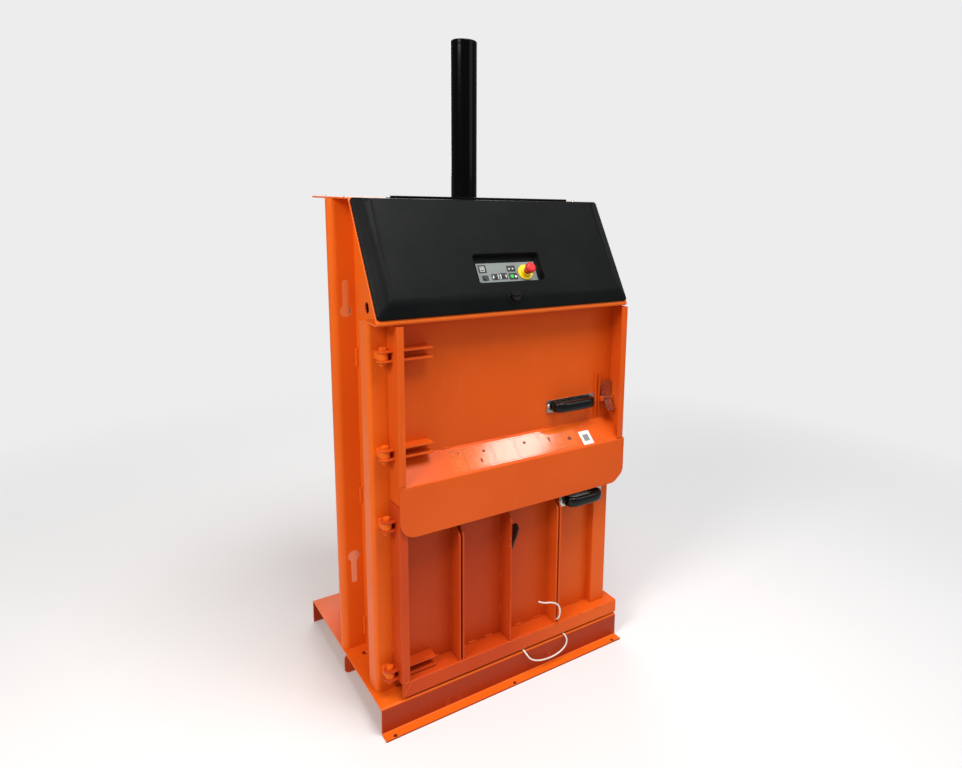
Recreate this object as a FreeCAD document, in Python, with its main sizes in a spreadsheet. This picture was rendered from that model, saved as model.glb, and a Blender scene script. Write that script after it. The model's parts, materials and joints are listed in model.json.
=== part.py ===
import FreeCAD, Part
import math
import os
import re
import Sketcher
from FreeCAD import Placement, Rotation, Vector

# Upright recycling baler: a folded steel press frame with two hinged doors, a press plate
# on a hydraulic cylinder, a power pack under the hood and a service cover with controls.
# X runs to the right, Y to the back, Z up. The rod's axis is X = 0, Y = 0 of the press
# frame, and every node is then moved by mid_y so that the floor plan is centred on Y = 0.

doc = FreeCAD.newDocument("compact_baler")

# name, value in millimetres or degrees, what it is
SIZES = [
    ("sheet", 5, "sheet thickness of the welded structure"),
    ("slip", 0.3, "small gap between parts that slide past each other"),
    # across the machine
    ("wall_half", 360, "outer face of the side walls, from the middle"),
    ("column_wide", 70, "width of a column outside the side wall"),
    ("post_wide", 58, "width of a front post outside the side wall"),
    ("hood_over", 60, "how far the hood stands out past the side wall"),
    ("door_step", 6, "door side, out from the side wall or the post"),
    # front to back
    ("post_face", 248, "front face of the front posts, ahead of the rod axis"),
    ("wall_rear", 250, "inner face of the rear wall, behind the rod axis"),
    ("door_gap", 2, "gap between the posts and the door panels"),
    ("door_deep_up", 71, "depth of the upper door ahead of its panel"),
    ("door_deep_lo", 63, "depth of the lower door ahead of its panel"),
    # heights
    ("base_top", 84, "height of the base plate's top"),
    ("door_lift", 8, "gap under the lower door"),
    ("lo_tall", 586, "height of the lower door"),
    ("door_split", 4, "gap between the two doors"),
    ("up_tall", 501, "height of the upper door"),
    ("hood_gap", 10.5, "upper door to the hood's lower bend"),
    ("hood_rise", 318.5, "height of the hood"),
    ("barrel_over", 475, "cylinder above the hood's top"),
    # base
    ("foot_reach", 32, "width of the out-turned foot flange"),
    ("base_behind", 91, "base plate behind the rear wall's inner face"),
    ("base_bend", 9, "outer bend radius of the base plate"),
    ("foot_hole", 6, "radius of the holes in the foot flange"),
    ("foot_hole_end", 30, "outer foot hole from the base's end"),
    ("foot_hole_off", 8, "hole centre back from the flange's front edge"),
    ("floor_hole", 8, "radius of the holes in the base plate"),
    ("floor_hole_out", 20, "floor hole, out from the side wall"),
    ("floor_hole_y", 45, "floor hole, ahead of the rod axis"),
    # columns and posts
    ("column_lip", 30, "depth of the column's bent lip"),
    ("column_bend", 20, "outer bend radius of the column"),
    ("key_out", 30, "keyholes, out from the side wall"),
    ("key_round", 18, "radius of a keyhole's round end"),
    ("key_slot", 8.8, "half width of a keyhole's slot"),
    ("key_run", 92, "round centre to slot end"),
    ("key_drop", 331, "upper keyhole's round end below the hood's top"),
    ("key_rise", 316, "lower keyhole's round end above the base"),
    ("post_side", 56, "depth of the post's outer side"),
    ("post_bend", 12, "outer bend radius of the posts"),
    # hood
    ("hood_run", 189, "how far the hood leans back"),
    ("hood_short", 65, "hood's rear edge ahead of the rear wall"),
    ("hood_return", 66, "depth of the hood's bottom return"),
    ("hood_lip", 7, "hood's lower edge below the cover, along the slope"),
    ("hood_wing", 36, "how much deeper the bottom return is outside the walls"),
    ("hood_bend", 8, "outer bend radius of the hood"),
    ("knee_drop", 70, "rear cover's bend below the hood's top"),
    ("window_half", 290, "half width of the access window in the hood"),
    ("window_low", 70, "access window's lower edge up the slope"),
    ("window_top_gap", 70, "access window's upper edge below the upper bend"),
    # hinges
    ("hinge_out", 27, "door hinge axis, out from the side wall"),
    ("hinge_ahead", 29, "door hinge axis, ahead of the post's face"),
    ("hinge_in_a", 83, "upper door, upper hinge below its top"),
    ("hinge_in_b", 144, "upper door, lower hinge above its foot"),
    ("hinge_in_c", 60, "lower door, upper hinge below its top"),
    ("hinge_in_d", 65, "lower door, lower hinge above its foot"),
    ("pin_rad", 6, "hinge pin radius"),
    ("pin_fit", 0.05, "running clearance round a pin"),
    ("lug_rad", 14, "rounded end of a hinge lug"),
    ("lug_half", 10.4, "half height of a hinge lug"),
    ("ear_rad", 18, "rounded end of a hinge ear"),
    ("ear_thick", 5, "thickness of a hinge ear"),
    ("ear_long", 116, "length of the hinge strips inside the door"),
    # upper door
    ("up_lip_left", 18, "width of the upper door's left lip"),
    ("up_lip_right", 23, "width of the upper door's right lip"),
    ("door_bend", 4, "outer bend radius of door sheets"),
    ("shelf_in", 54, "shelf's front edge above the upper door's foot"),
    ("shelf_drop", 64, "fall of the sloping shelf"),
    ("apron_drop", 150, "height of the apron"),
    ("apron_round", 46, "corner radius of the apron"),
    # lower door
    ("lo_lip", 24, "width of the lower door's left lip"),
    ("channel_tall", 46, "height of the lower door's bottom channel"),
    ("rib_short", 3, "front of the ribs behind the door's front"),
    ("rib_step", 31, "how far the ribs step back under the apron"),
    ("rib_show", 41, "how far below the apron the ribs start to step back"),
    ("rib_cut", 30, "height over which the ribs step back"),
    ("bay_left", 192.5, "door side to the left strap slot's centre"),
    ("bay_right", 163.4, "right strap slot's centre to the stile"),
    ("slot_wide", 6.6, "width of a strap slot"),
    ("stile_in", 19, "stile's right face, in from the post's outer face"),
    ("stile_wide", 58, "width of the lower door's stile"),
    ("stile_deep", 30, "depth of the stile ahead of the panel"),
    ("rail_tall", 23, "height of the lower door's top rail"),
    # handles
    ("plate_thick", 4, "thickness of a handle's steel plate"),
    ("plate_high", 40, "height of a handle's steel plate"),
    ("handle_long_up", 190, "length of the upper handle's plate"),
    ("handle_long_lo", 172, "length of the lower handle's plate"),
    ("handle_rise", 187, "upper handle above the upper door's foot"),
    ("handle_below", 30, "lower handle below the apron"),
    ("handle_in_lo", 37, "lower handle plate's right end, in from the stile's"),
    ("handle_off", 8, "lower handle plate ahead of the stile"),
    ("grip_inset", 14.5, "grip's ends, in from the plate's ends"),
    ("grip_reach", 43, "how far a grip stands out"),
    ("grip_bar", 21, "depth of a grip's bar"),
    ("grip_tall", 38, "height of a grip's bar"),
    ("grip_foot", 26, "length of a grip's foot"),
    # latches
    ("latch_in_up", 30, "upper latch, in from the door's right side"),
    ("latch_in_lo", 29, "lower latch, in from the stile's right face"),
    ("latch_clear", 45.4, "upper latch's middle to the handle's plate"),
    ("latch_below", 50, "lower latch's pivot below the lower door's top"),
    ("guide_deep", 9, "depth of the upper latch's guide strips"),
    ("latch_off", 13, "latch pivot ahead of the sheet it sits on"),
    ("latch_half", 20, "half width of a latch lever"),
    ("latch_pin", 3, "latch pin radius"),
    ("hook_half", 4, "half width of a latch hook"),
    ("hook_tip", 12, "hook tip above the pivot"),
    ("hook_room_up", 9, "upper hook's holding face behind the post's sheet"),
    ("hook_room_lo", 5.5, "lower hook's holding face behind the post's sheet"),
    # cylinder
    ("barrel_rad", 40, "cylinder barrel radius"),
    ("barrel_bore", 33, "cylinder bore radius"),
    ("cap_high", 16, "height of the cylinder's end cap"),
    ("rod_rad", 20, "rod radius"),
    ("rod_fit", 0.08, "running clearance of rod and piston"),
    ("gland_tall", 20, "height of the gland"),
    ("gland_over", 14, "gland's foot above the power pack's shelf"),
    ("flange_half", 62, "half width of the cylinder flange"),
    ("flange_thick", 15, "thickness of the cylinder flange"),
    # press plate
    ("platen_rise", 2.5, "press plate at rest, above the hood's lower bend"),
    ("platen_thick", 8, "press plate thickness"),
    ("platen_side", 8, "gap from press plate to side wall"),
    ("platen_gap", 16, "gap from press plate to the post's face"),
    ("platen_gap_rear", 18, "gap from press plate to the rear wall"),
    ("platen_rib", 46, "height of the press plate's ribs"),
    ("pack_lift", 66, "power pack's shelf above the press plate"),
    # service cover
    ("cover_edge", 3, "cover's end, in from the hood's end"),
    ("hinge_half", 300, "half length of the service cover's hinge"),
    ("cover_low", 10, "cover's lower edge up the slope"),
    ("cover_top_gap", 3.4, "cover's upper edge below the upper bend"),
    ("cover_skirt", 6, "height of the cover's straight edge"),
    ("cover_deep", 27, "height of the cover's face above the hood"),
    ("cover_side_bevel", 34, "bevel at the cover's ends"),
    ("cover_low_bevel", 38, "bevel at the cover's lower edge"),
    ("cover_top_bevel", 14, "bevel at the cover's upper edge"),
    ("cover_wall", 3, "cover wall thickness"),
    ("cover_gap", 0.6, "gap between cover and hood"),
    ("recess_left", 108, "control recess, left end"),
    ("recess_right", 112, "control recess, right end"),
    ("recess_low", 92, "control recess, lower edge up the slope"),
    ("recess_high", 176, "control recess, upper edge up the slope"),
    ("recess_floor", 6, "floor of the control recess above the hood"),
    ("dash_left", 97, "control plate, left end"),
    ("dash_right", 101, "control plate, right end"),
    ("dash_low", 97, "control plate, lower edge up the slope"),
    ("dash_high", 157, "control plate, upper edge up the slope"),
    ("dash_thick", 2, "control plate thickness"),
    ("stop_x", 62, "emergency stop, sideways"),
    ("stop_up", 123, "emergency stop, up the slope"),
    ("stop_ring", 24.5, "emergency stop's disc radius"),
    ("stop_rad", 16, "emergency stop's mushroom radius"),
    ("stop_stem", 9, "emergency stop's stem radius"),
    ("key_button", 5.5, "push button radius"),
    ("lock_x", 8, "cover lock, left of the rod axis"),
    ("lock_up", 43, "cover lock, up the slope"),
    ("lock_rad", 16, "cover lock's knob radius"),
    ("strap_wide", 5, "diameter of a strap end"),
]

# What follows from the sizes above
FOLLOWS = {
    "frame_half": "wall_half + column_wide",
    "post_out": "wall_half + post_wide",
    "hood_half": "wall_half + hood_over",
    "cover_half": "hood_half - cover_edge",
    "key_x": "wall_half + key_out",
    "floor_hole_x": "wall_half + floor_hole_out",
    "foot_pitch": "frame_half - foot_hole_end",
    "hinge_x": "wall_half + hinge_out",
    "door_left": "wall_half + door_step",
    "door_right": "post_out + door_step",
    "apron_right": "frame_half",
    "ear_inner_x": "door_left - ear_long",
    "stile_right": "post_out - stile_in",
    "stile_left": "stile_right - stile_wide",
    "slot_left": "door_left - bay_left",
    "slot_right": "stile_left - bay_right",
    "latch_x_up": "door_right - latch_in_up",
    "latch_x_lo": "stile_right - latch_in_lo",
    "handle_right_up": "latch_x_up - latch_clear",
    "handle_left_up": "handle_right_up - handle_long_up",
    "handle_right_lo": "stile_right - handle_in_lo",
    "handle_left_lo": "handle_right_lo - handle_long_lo",
    "grip_long_up": "handle_long_up - 2 * grip_inset",
    "grip_long_lo": "handle_long_lo - 2 * grip_inset",
    "panel_face": "post_face + door_gap + sheet",
    "up_front": "panel_face + door_deep_up",
    "lo_front": "panel_face + door_deep_lo",
    "base_front": "lo_front",
    "base_rear": "wall_rear + base_behind",
    "mid_y": "(base_front + foot_reach - base_rear) / 2",
    "post_back": "post_face - post_side",
    "hood_low_y": "up_front - 1",
    "hood_edge": "hood_low_y - hood_run",
    "hood_rear": "wall_rear - hood_short",
    "hinge_y": "post_face + hinge_ahead",
    "rib_front": "lo_front - rib_short",
    "rib_back": "rib_front - rib_step",
    "stile_face": "panel_face + stile_deep",
    "hook_deep_up": "latch_off + door_gap + 2 * sheet + hook_room_up",
    "hook_deep_lo": "latch_off + stile_deep + door_gap + 2 * sheet + hook_room_lo",
    "platen_front": "post_face - platen_gap",
    "platen_back": "wall_rear - platen_gap_rear",
    "lo_low": "base_top + door_lift",
    "lo_high": "lo_low + lo_tall",
    "up_low": "lo_high + door_split",
    "up_high": "up_low + up_tall",
    "post_top": "up_high + 4",
    "hood_low_z": "up_high + hood_gap",
    "frame_top": "hood_low_z + hood_rise",
    "rear_knee": "frame_top - knee_drop",
    "key_high": "frame_top - key_drop",
    "key_low": "base_top + key_rise",
    "hinge_z1": "up_high - hinge_in_a",
    "hinge_z2": "up_low + hinge_in_b",
    "hinge_z3": "lo_high - hinge_in_c",
    "hinge_z4": "lo_low + hinge_in_d",
    "shelf_front_z": "up_low + shelf_in",
    "shelf_rear_z": "shelf_front_z + shelf_drop",
    "apron_low": "shelf_front_z - apron_drop",
    "channel_top": "lo_low + channel_tall",
    "rib_cut_low": "apron_low - rib_show",
    "rib_cut_high": "rib_cut_low + rib_cut",
    "rail_low": "lo_high - rail_tall",
    "handle_z_up": "up_low + handle_rise",
    "handle_z_lo": "apron_low - handle_below",
    "latch_z_up": "handle_z_up - 1",
    "latch_z_lo": "lo_high - latch_below",
    "platen_z": "hood_low_z + platen_rise",
    "shelf_z": "platen_z + pack_lift",
    "gland_low": "shelf_z + gland_over",
    "barrel_low": "gland_low + gland_tall",
    "barrel_top": "frame_top + barrel_over",
    "slope_long": "sqrt(hood_run * hood_run + hood_rise * hood_rise)",
    "cover_high": "slope_long - cover_top_gap",
    "window_high": "slope_long - window_top_gap",
}

sheet = doc.addObject("Spreadsheet::Sheet", "Sizes")
NAMES = set()
for row, (alias, value, note) in enumerate(SIZES, start=1):
    sheet.set("A%d" % row, note)
    sheet.set("B%d" % row, "%s" % value)
    sheet.setAlias("B%d" % row, alias)
    NAMES.add(alias)
doc.recompute()


def linked(text):
    """An expression with every size name pointed at the sheet."""
    def swap(match):
        word = match.group(0)
        if word in FOLLOWS:
            return "(%s)" % linked(FOLLOWS[word])
        if word in NAMES:
            return "Sizes." + word
        return word
    return re.sub(r"(?<![.0-9A-Za-z_])[A-Za-z_][A-Za-z_0-9]*", swap, "%s" % text)


def size(name):
    """One value, of the sheet or following from it, as a number."""
    if name in NAMES:
        return float(getattr(sheet, name))
    return float(sheet.evalExpression(linked(name)))


def bind(obj, prop, text):
    obj.setExpression(prop, linked(text))


def place(obj, spot):
    for axis, text in zip("xyz", spot):
        bind(obj, "Placement.Base." + axis, text)


# ---------------------------------------------------------------- primitives
def box(name, x0, x1, y0, y1, z0, z1):
    obj = doc.addObject("Part::Box", name)
    bind(obj, "Length", "(%s) - (%s)" % (x1, x0))
    bind(obj, "Width", "(%s) - (%s)" % (y1, y0))
    bind(obj, "Height", "(%s) - (%s)" % (z1, z0))
    place(obj, (x0, y0, z0))
    return obj


TURNS = {
    "x": Rotation(Vector(0, 1, 0), 90),
    "y": Rotation(Vector(1, 0, 0), -90),
    "z": Rotation(),
}


def rod(name, axis, spot, radius, length):
    """A cylinder from spot, along +axis."""
    obj = doc.addObject("Part::Cylinder", name)
    obj.Placement = Placement(Vector(), TURNS[axis])
    bind(obj, "Radius", radius)
    bind(obj, "Height", length)
    place(obj, spot)
    return obj


def cone(name, axis, spot, radius_a, radius_b, length):
    obj = doc.addObject("Part::Cone", name)
    obj.Placement = Placement(Vector(), TURNS[axis])
    bind(obj, "Radius1", radius_a)
    bind(obj, "Radius2", radius_b)
    bind(obj, "Height", length)
    place(obj, spot)
    return obj


def fuse(name, shapes):
    obj = doc.addObject("Part::MultiFuse", name)
    obj.Shapes = shapes
    return obj


def cut(name, base, tools):
    tool = tools[0]
    if len(tools) > 1:
        tool = fuse(name + "_tools", tools)
    obj = doc.addObject("Part::Cut", name)
    obj.Base = base
    obj.Tool = tool
    return obj


# ---------------------------------------------------------------- bodies
def origin_plane(body, role):
    return [f for f in body.Origin.OriginFeatures if f.Role == role][0]


def flat_sketch(body, name, role, offset=None):
    sk = body.newObject("Sketcher::SketchObject", name)
    sk.AttachmentSupport = [(origin_plane(body, role), "")]
    sk.MapMode = "FlatFace"
    if offset is not None:
        bind(sk, "AttachmentOffset.Base.z", offset)
    return sk


def outline(sk, points):
    """A closed outline whose corners are tied to the sheet."""
    count = len(points)
    start = sk.GeometryCount
    for i in range(count):
        a = 2 * math.pi * i / count
        b = 2 * math.pi * (i + 1) / count
        here = Vector(10 * math.cos(a), 10 * math.sin(a), 0)
        there = Vector(10 * math.cos(b), 10 * math.sin(b), 0)
        sk.addGeometry(Part.LineSegment(here, there))
    for i in range(count):
        follow = start + (i + 1) % count
        sk.addConstraint(Sketcher.Constraint("Coincident", start + i, 2, follow, 1))
    for i, (across, up) in enumerate(points):
        a = 2 * math.pi * i / count
        line = start + i
        for kind, text, value in (
            ("DistanceX", across, 10 * math.cos(a)),
            ("DistanceY", up, 10 * math.sin(a)),
        ):
            made = sk.addConstraint(Sketcher.Constraint(kind, -1, 1, line, 1, value))
            bind(sk, "Constraints[%d]" % made, text)


def rings(sk, circles):
    """Circles (across, up, radius), tied to the sheet."""
    for n, (across, up, radius) in enumerate(circles):
        line = sk.addGeometry(Part.Circle(Vector(40.0 * (n + 1), 5, 0), Vector(0, 0, 1), 3))
        for kind, text, value in (
            ("DistanceX", across, 40.0 * (n + 1)),
            ("DistanceY", up, 5.0),
        ):
            made = sk.addConstraint(Sketcher.Constraint(kind, -1, 1, line, 3, value))
            bind(sk, "Constraints[%d]" % made, text)
        made = sk.addConstraint(Sketcher.Constraint("Radius", line, 3.0))
        bind(sk, "Constraints[%d]" % made, radius)


def new_body(name):
    body = doc.addObject("PartDesign::Body", name)
    return body


def pad(body, name, role, offset, points, length, middle=False, circles=None):
    sk = flat_sketch(body, name + "_sketch", role, offset)
    if points:
        outline(sk, points)
    if circles:
        rings(sk, circles)
    feature = body.newObject("PartDesign::Pad", name)
    feature.Profile = sk
    bind(feature, "Length", length)
    if middle:
        feature.Midplane = True
    sk.Visibility = False
    doc.recompute()
    return feature


def pocket(body, name, role, offset, length, points=None, circles=None, back=False):
    """A pocket of a set depth; it must take material away."""
    before = body.Shape.Volume
    sk = flat_sketch(body, name + "_sketch", role, offset)
    if points:
        outline(sk, points)
    if circles:
        rings(sk, circles)
    feature = body.newObject("PartDesign::Pocket", name)
    feature.Profile = sk
    bind(feature, "Length", length)
    feature.Reversed = back
    sk.Visibility = False
    doc.recompute()
    if body.Shape.Volume > before - 0.01:
        raise RuntimeError("%s takes nothing away" % name)
    return feature


AXES = {"YZ_Plane": "x", "XZ_Plane": "y", "XY_Plane": "z"}


def bends(body, name, role, sk, corners, radius):
    """Round the long edges that stand on the sketch's numbered corners."""
    spots = [sk.Geometry[i].StartPoint for i in corners]
    axis = AXES[role]
    found = []
    shape = body.Tip.Shape
    for number, edge in enumerate(shape.Edges, start=1):
        a = edge.Vertexes[0].Point
        b = edge.Vertexes[-1].Point
        if axis == "x":
            along = abs(a.x - b.x)
            flat = (a.y, a.z)
            flat_b = (b.y, b.z)
        elif axis == "y":
            along = abs(a.y - b.y)
            flat = (a.x, a.z)
            flat_b = (b.x, b.z)
        else:
            along = abs(a.z - b.z)
            flat = (a.x, a.y)
            flat_b = (b.x, b.y)
        if along < 1:
            continue
        for spot in spots:
            near = math.hypot(flat[0] - spot.x, flat[1] - spot.y)
            near_b = math.hypot(flat_b[0] - spot.x, flat_b[1] - spot.y)
            if near < 0.01 and near_b < 0.01:
                found.append("Edge%d" % number)
    feature = body.newObject("PartDesign::Fillet", name)
    feature.Base = (body.Tip if body.Tip != feature else feature.BaseFeature, found)
    bind(feature, "Radius", radius)
    doc.recompute()
    return feature


NODES = []


def node(label, obj, spot=None):
    """Name a finished sub-part and move it with the floor plan."""
    obj.Label = label
    if spot is None:
        bind(obj, "Placement.Base.y", "mid_y")
    NODES.append(obj)
    return obj


def group(label, shapes):
    obj = doc.addObject("Part::Compound", label)
    obj.Links = shapes
    return node(label, obj)


# ================================================================ base
body = new_body("base_plate")
profile = [
    ("-base_front - foot_reach", "0"),
    ("-base_front + sheet", "0"),
    ("-base_front + sheet", "base_top - sheet"),
    ("base_rear - sheet", "base_top - sheet"),
    ("base_rear - sheet", "0"),
    ("base_rear", "0"),
    ("base_rear", "base_top"),
    ("-base_front", "base_top"),
    ("-base_front", "sheet"),
    ("-base_front - foot_reach", "sheet"),
]
first = pad(body, "base_fold", "YZ_Plane", None, profile, "2 * frame_half", middle=True)
bends(body, "base_bends", "YZ_Plane", first.Profile[0], [1, 6, 7], "base_bend")
inner = [2, 3, 8]
bends(body, "base_inner_bends", "YZ_Plane", first.Profile[0], inner, "base_bend - sheet")
holes = []
for step in (-1, 0, 1):
    holes.append((
        "%d * foot_pitch" % step,
        "-base_front - foot_reach + foot_hole_off",
        "foot_hole",
    ))
pocket(body, "foot_holes", "XY_Plane", "sheet + 1", "sheet + 2", circles=holes)
holes = [
    ("floor_hole_x", "-floor_hole_y", "floor_hole"),
    ("-floor_hole_x", "-floor_hole_y", "floor_hole"),
]
pocket(body, "floor_holes", "XY_Plane", "base_top + 1", "sheet + 2", circles=holes)
node("base_plate", body)

# cross beam under the base, in line with the columns; its ends stand on the floor
body = new_body("bottom_beam")
foot = [
    ("-frame_half", "0"),
    ("-frame_half + 150", "0"),
    ("-frame_half + 190", "base_top - sheet - 34"),
    ("frame_half - 190", "base_top - sheet - 34"),
    ("frame_half - 150", "0"),
    ("frame_half", "0"),
    ("frame_half", "base_top - sheet - 24"),
    ("frame_half - 24", "base_top - sheet"),
    ("-frame_half + 24", "base_top - sheet"),
    ("-frame_half", "base_top - sheet - 24"),
]
first = pad(body, "beam_web", "XZ_Plane", "-sheet", foot, "sheet")
bends(body, "beam_corners", "XZ_Plane", first.Profile[0], [0, 5], "15")
node("bottom_beam", body)

# ================================================================ columns
for side, sign in (("left", -1), ("right", 1)):
    body = new_body("column_" + side)
    out = "%d * frame_half" % sign
    thin = "%d * sheet" % sign
    inn = "%d * wall_half" % sign
    profile = [
        (inn, "0"),
        (out, "0"),
        (out, "column_lip"),
        ("%s - (%s)" % (out, thin), "column_lip"),
        ("%s - (%s)" % (out, thin), "sheet"),
        (inn, "sheet"),
    ]
    first = pad(body, "column_fold_" + side, "XY_Plane", "base_top", profile,
                "frame_top - sheet - base_top")
    bends(body, "column_bend_" + side, "XY_Plane", first.Profile[0], [1], "column_bend")
    bends(body, "column_inner_" + side, "XY_Plane", first.Profile[0], [4],
          "column_bend - sheet")
    centre = "%d * key_x" % sign
    rounds = [(centre, "key_high", "key_round"), (centre, "key_low", "key_round")]
    pocket(body, "key_rounds_" + side, "XZ_Plane", "-sheet - 1", "sheet + 2",
           circles=rounds, back=True)
    for name, base, way in (("high", "key_high", 1), ("low", "key_low", -1)):
        end = "%s + %d * (key_run - key_slot)" % (base, way)
        slot = [
            ("%s - key_slot" % centre, base),
            ("%s + key_slot" % centre, base),
            ("%s + key_slot" % centre, end),
            ("%s - key_slot" % centre, end),
        ]
        pocket(body, "key_slot_%s_%s" % (name, side), "XZ_Plane", "-sheet - 1",
               "sheet + 2", points=slot, back=True)
        pocket(body, "key_end_%s_%s" % (name, side), "XZ_Plane", "-sheet - 1",
               "sheet + 2", circles=[(centre, end, "key_slot")], back=True)
    node("column_" + side, body)

# ================================================================ side walls
lean = "(hood_low_y - hood_edge) / (frame_top - hood_low_z)"
for side, sign in (("left", -1), ("right", 1)):
    body = new_body("side_wall_" + side)
    knee = "frame_top - (post_face - sheet - hood_edge + 12) / (%s)" % lean
    profile = [
        ("-post_face + sheet", "base_top"),
        ("wall_rear", "base_top"),
        ("wall_rear", "rear_knee"),
        ("hood_rear", "frame_top - sheet"),
        ("-hood_edge + 12", "frame_top - sheet"),
        ("-post_face + sheet", knee),
    ]
    start = "wall_half - sheet" if sign > 0 else "-wall_half"
    pad(body, "wall_sheet_" + side, "YZ_Plane", start, profile, "sheet")
    window = [("-92", "hood_low_z + 7.5", "17")]
    pocket(body, "wall_hole_" + side, "YZ_Plane", "%s + sheet + 1" % start, "sheet + 2",
           circles=window)
    node("side_wall_" + side, body)

rear = box("rear_sheet", "-wall_half", "wall_half", "wall_rear", "wall_rear + sheet",
           "base_top", "platen_z - 10")
ribs = []
for n, spot in enumerate((-240, -80, 80, 240)):
    ribs.append(box("rear_rib%d" % n, "%d - 20" % spot, "%d + 20" % spot,
                    "wall_rear + sheet", "wall_rear + sheet + 40",
                    "base_top", "platen_z - 40"))
hollow = []
for n, spot in enumerate((-240, -80, 80, 240)):
    core = box("rear_rib_core%d" % n, "%d - 15" % spot, "%d + 15" % spot,
               "wall_rear + sheet - 1", "wall_rear + sheet + 35",
               "base_top - 1", "platen_z - 39")
    hollow.append(cut("rear_rib_fold%d" % n, ribs[n], [core]))
group("rear_wall", [rear] + hollow)

body = new_body("rear_cover")
run = "(wall_rear - hood_rear) / (frame_top - sheet - rear_knee)"
profile = [
    ("wall_rear", "platen_z - 10"),
    ("wall_rear + cover_wall", "platen_z - 10"),
    ("wall_rear + cover_wall", "rear_knee + cover_wall * 0.45"),
    ("hood_rear + cover_wall * 1.45", "frame_top - sheet"),
    ("hood_rear", "frame_top - sheet"),
    ("wall_rear", "rear_knee"),
]
pad(body, "rear_cover_fold", "YZ_Plane", None, profile, "2 * wall_half", middle=True)
for n in range(7):
    slot = [
        ("-190 + %d * 60" % n, "shelf_z + 48"), ("-176 + %d * 60" % n, "shelf_z + 48"),
        ("-176 + %d * 60" % n, "rear_knee - 22"), ("-190 + %d * 60" % n, "rear_knee - 22"),
    ]
    pocket(body, "rear_vent%d" % n, "XZ_Plane", "-wall_rear - cover_wall - 1",
           "cover_wall + 2", points=slot, back=True)
node("rear_cover", body)

# raised floor strips, with strap channels between them
strips = []
for name, x0, x1 in (
    ("a", "-wall_half + sheet", "-slot_left - 12"),
    ("b", "-slot_left + 12", "slot_right - 12"),
    ("c", "slot_right + 12", "wall_half - sheet"),
):
    body = new_body("floor_strip_" + name)
    profile = [
        (x0, "base_top"), ("%s + 4" % x0, "base_top"), ("%s + 4" % x0, "base_top + 32"),
        ("%s - 4" % x1, "base_top + 32"), ("%s - 4" % x1, "base_top"), (x1, "base_top"),
        (x1, "base_top + 36"), (x0, "base_top + 36"),
    ]
    first = pad(body, "strip_fold_" + name, "XZ_Plane", "-wall_rear", profile,
                "wall_rear + post_face - sheet - 1")
    bends(body, "strip_bends_" + name, "XZ_Plane", first.Profile[0], [6, 7], "3")
    strips.append(body)
group("chamber_floor", strips)

# ================================================================ front posts
for side, sign in (("left", -1), ("right", 1)):
    body = new_body("front_post_" + side)
    out = "%d * post_out" % sign
    thin = "%d * sheet" % sign
    inn = "%d * (wall_half - sheet)" % sign
    profile = [
        (inn, "-post_face"),
        (out, "-post_face"),
        (out, "-post_back"),
        ("%s - (%s)" % (out, thin), "-post_back"),
        ("%s - (%s)" % (out, thin), "-post_face + sheet"),
        (inn, "-post_face + sheet"),
    ]
    first = pad(body, "post_fold_" + side, "XY_Plane", "base_top", profile,
                "post_top - base_top")
    bends(body, "post_bend_" + side, "XY_Plane", first.Profile[0], [1], "post_bend")
    bends(body, "post_inner_" + side, "XY_Plane", first.Profile[0], [4],
          "post_bend - sheet")
    if side == "right":
        for name, centre, base, top in (
            ("up", "latch_x_up", "latch_z_up", "14"),
            ("lo", "latch_x_lo", "latch_z_lo", "16"),
        ):
            gap = [
                ("%s - hook_half - 3" % centre, "%s - 10" % base),
                ("%s + hook_half + 3" % centre, "%s - 10" % base),
                ("%s + hook_half + 3" % centre, "%s + %s" % (base, top)),
                ("%s - hook_half - 3" % centre, "%s + %s" % (base, top)),
            ]
            pocket(body, "hook_slot_" + name, "XZ_Plane", "post_face - sheet - 1",
                   "sheet + 2", points=gap, back=True)
    node("front_post_" + side, body)

# ================================================================ hinges
HINGES = ("hinge_z1", "hinge_z2", "hinge_z3", "hinge_z4")
lugs = []
pins = []
for n, height in enumerate(HINGES):
    block = box("lug_block%d" % n, "-hinge_x - lug_rad", "-hinge_x + lug_rad",
                "-hinge_y", "-post_face", "%s - lug_half" % height,
                "%s + lug_half" % height)
    nose = rod("lug_nose%d" % n, "z", ("-hinge_x", "-hinge_y", "%s - lug_half" % height),
               "lug_rad", "2 * lug_half")
    bore = rod("lug_bore%d" % n, "z",
               ("-hinge_x", "-hinge_y", "%s - lug_half - 1" % height),
               "pin_rad + pin_fit", "2 * lug_half + 2")
    lugs.append(cut("lug%d" % n, fuse("lug_body%d" % n, [block, nose]), [bore]))
    stack = "lug_half + slip + ear_thick + slip"
    shank = rod("pin_shank%d" % n, "z",
                ("-hinge_x", "-hinge_y", "%s - (%s) - 13" % (height, stack)),
                "pin_rad", "2 * (%s) + 13 + 1" % stack)
    head = doc.addObject("Part::Prism", "pin_head%d" % n)
    head.Polygon = 6
    bind(head, "Circumradius", "pin_rad * 1.75")
    bind(head, "Height", "8")
    place(head, ("-hinge_x", "-hinge_y", "%s + %s" % (height, stack)))
    nut = doc.addObject("Part::Prism", "pin_nut%d" % n)
    nut.Polygon = 6
    bind(nut, "Circumradius", "pin_rad * 1.75")
    bind(nut, "Height", "9")
    place(nut, ("-hinge_x", "-hinge_y", "%s - (%s) - 9" % (height, stack)))
    pins.append(fuse("pin%d" % n, [shank, head, nut]))
group("hinge_lugs", lugs)
group("hinge_pins", pins)


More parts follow.
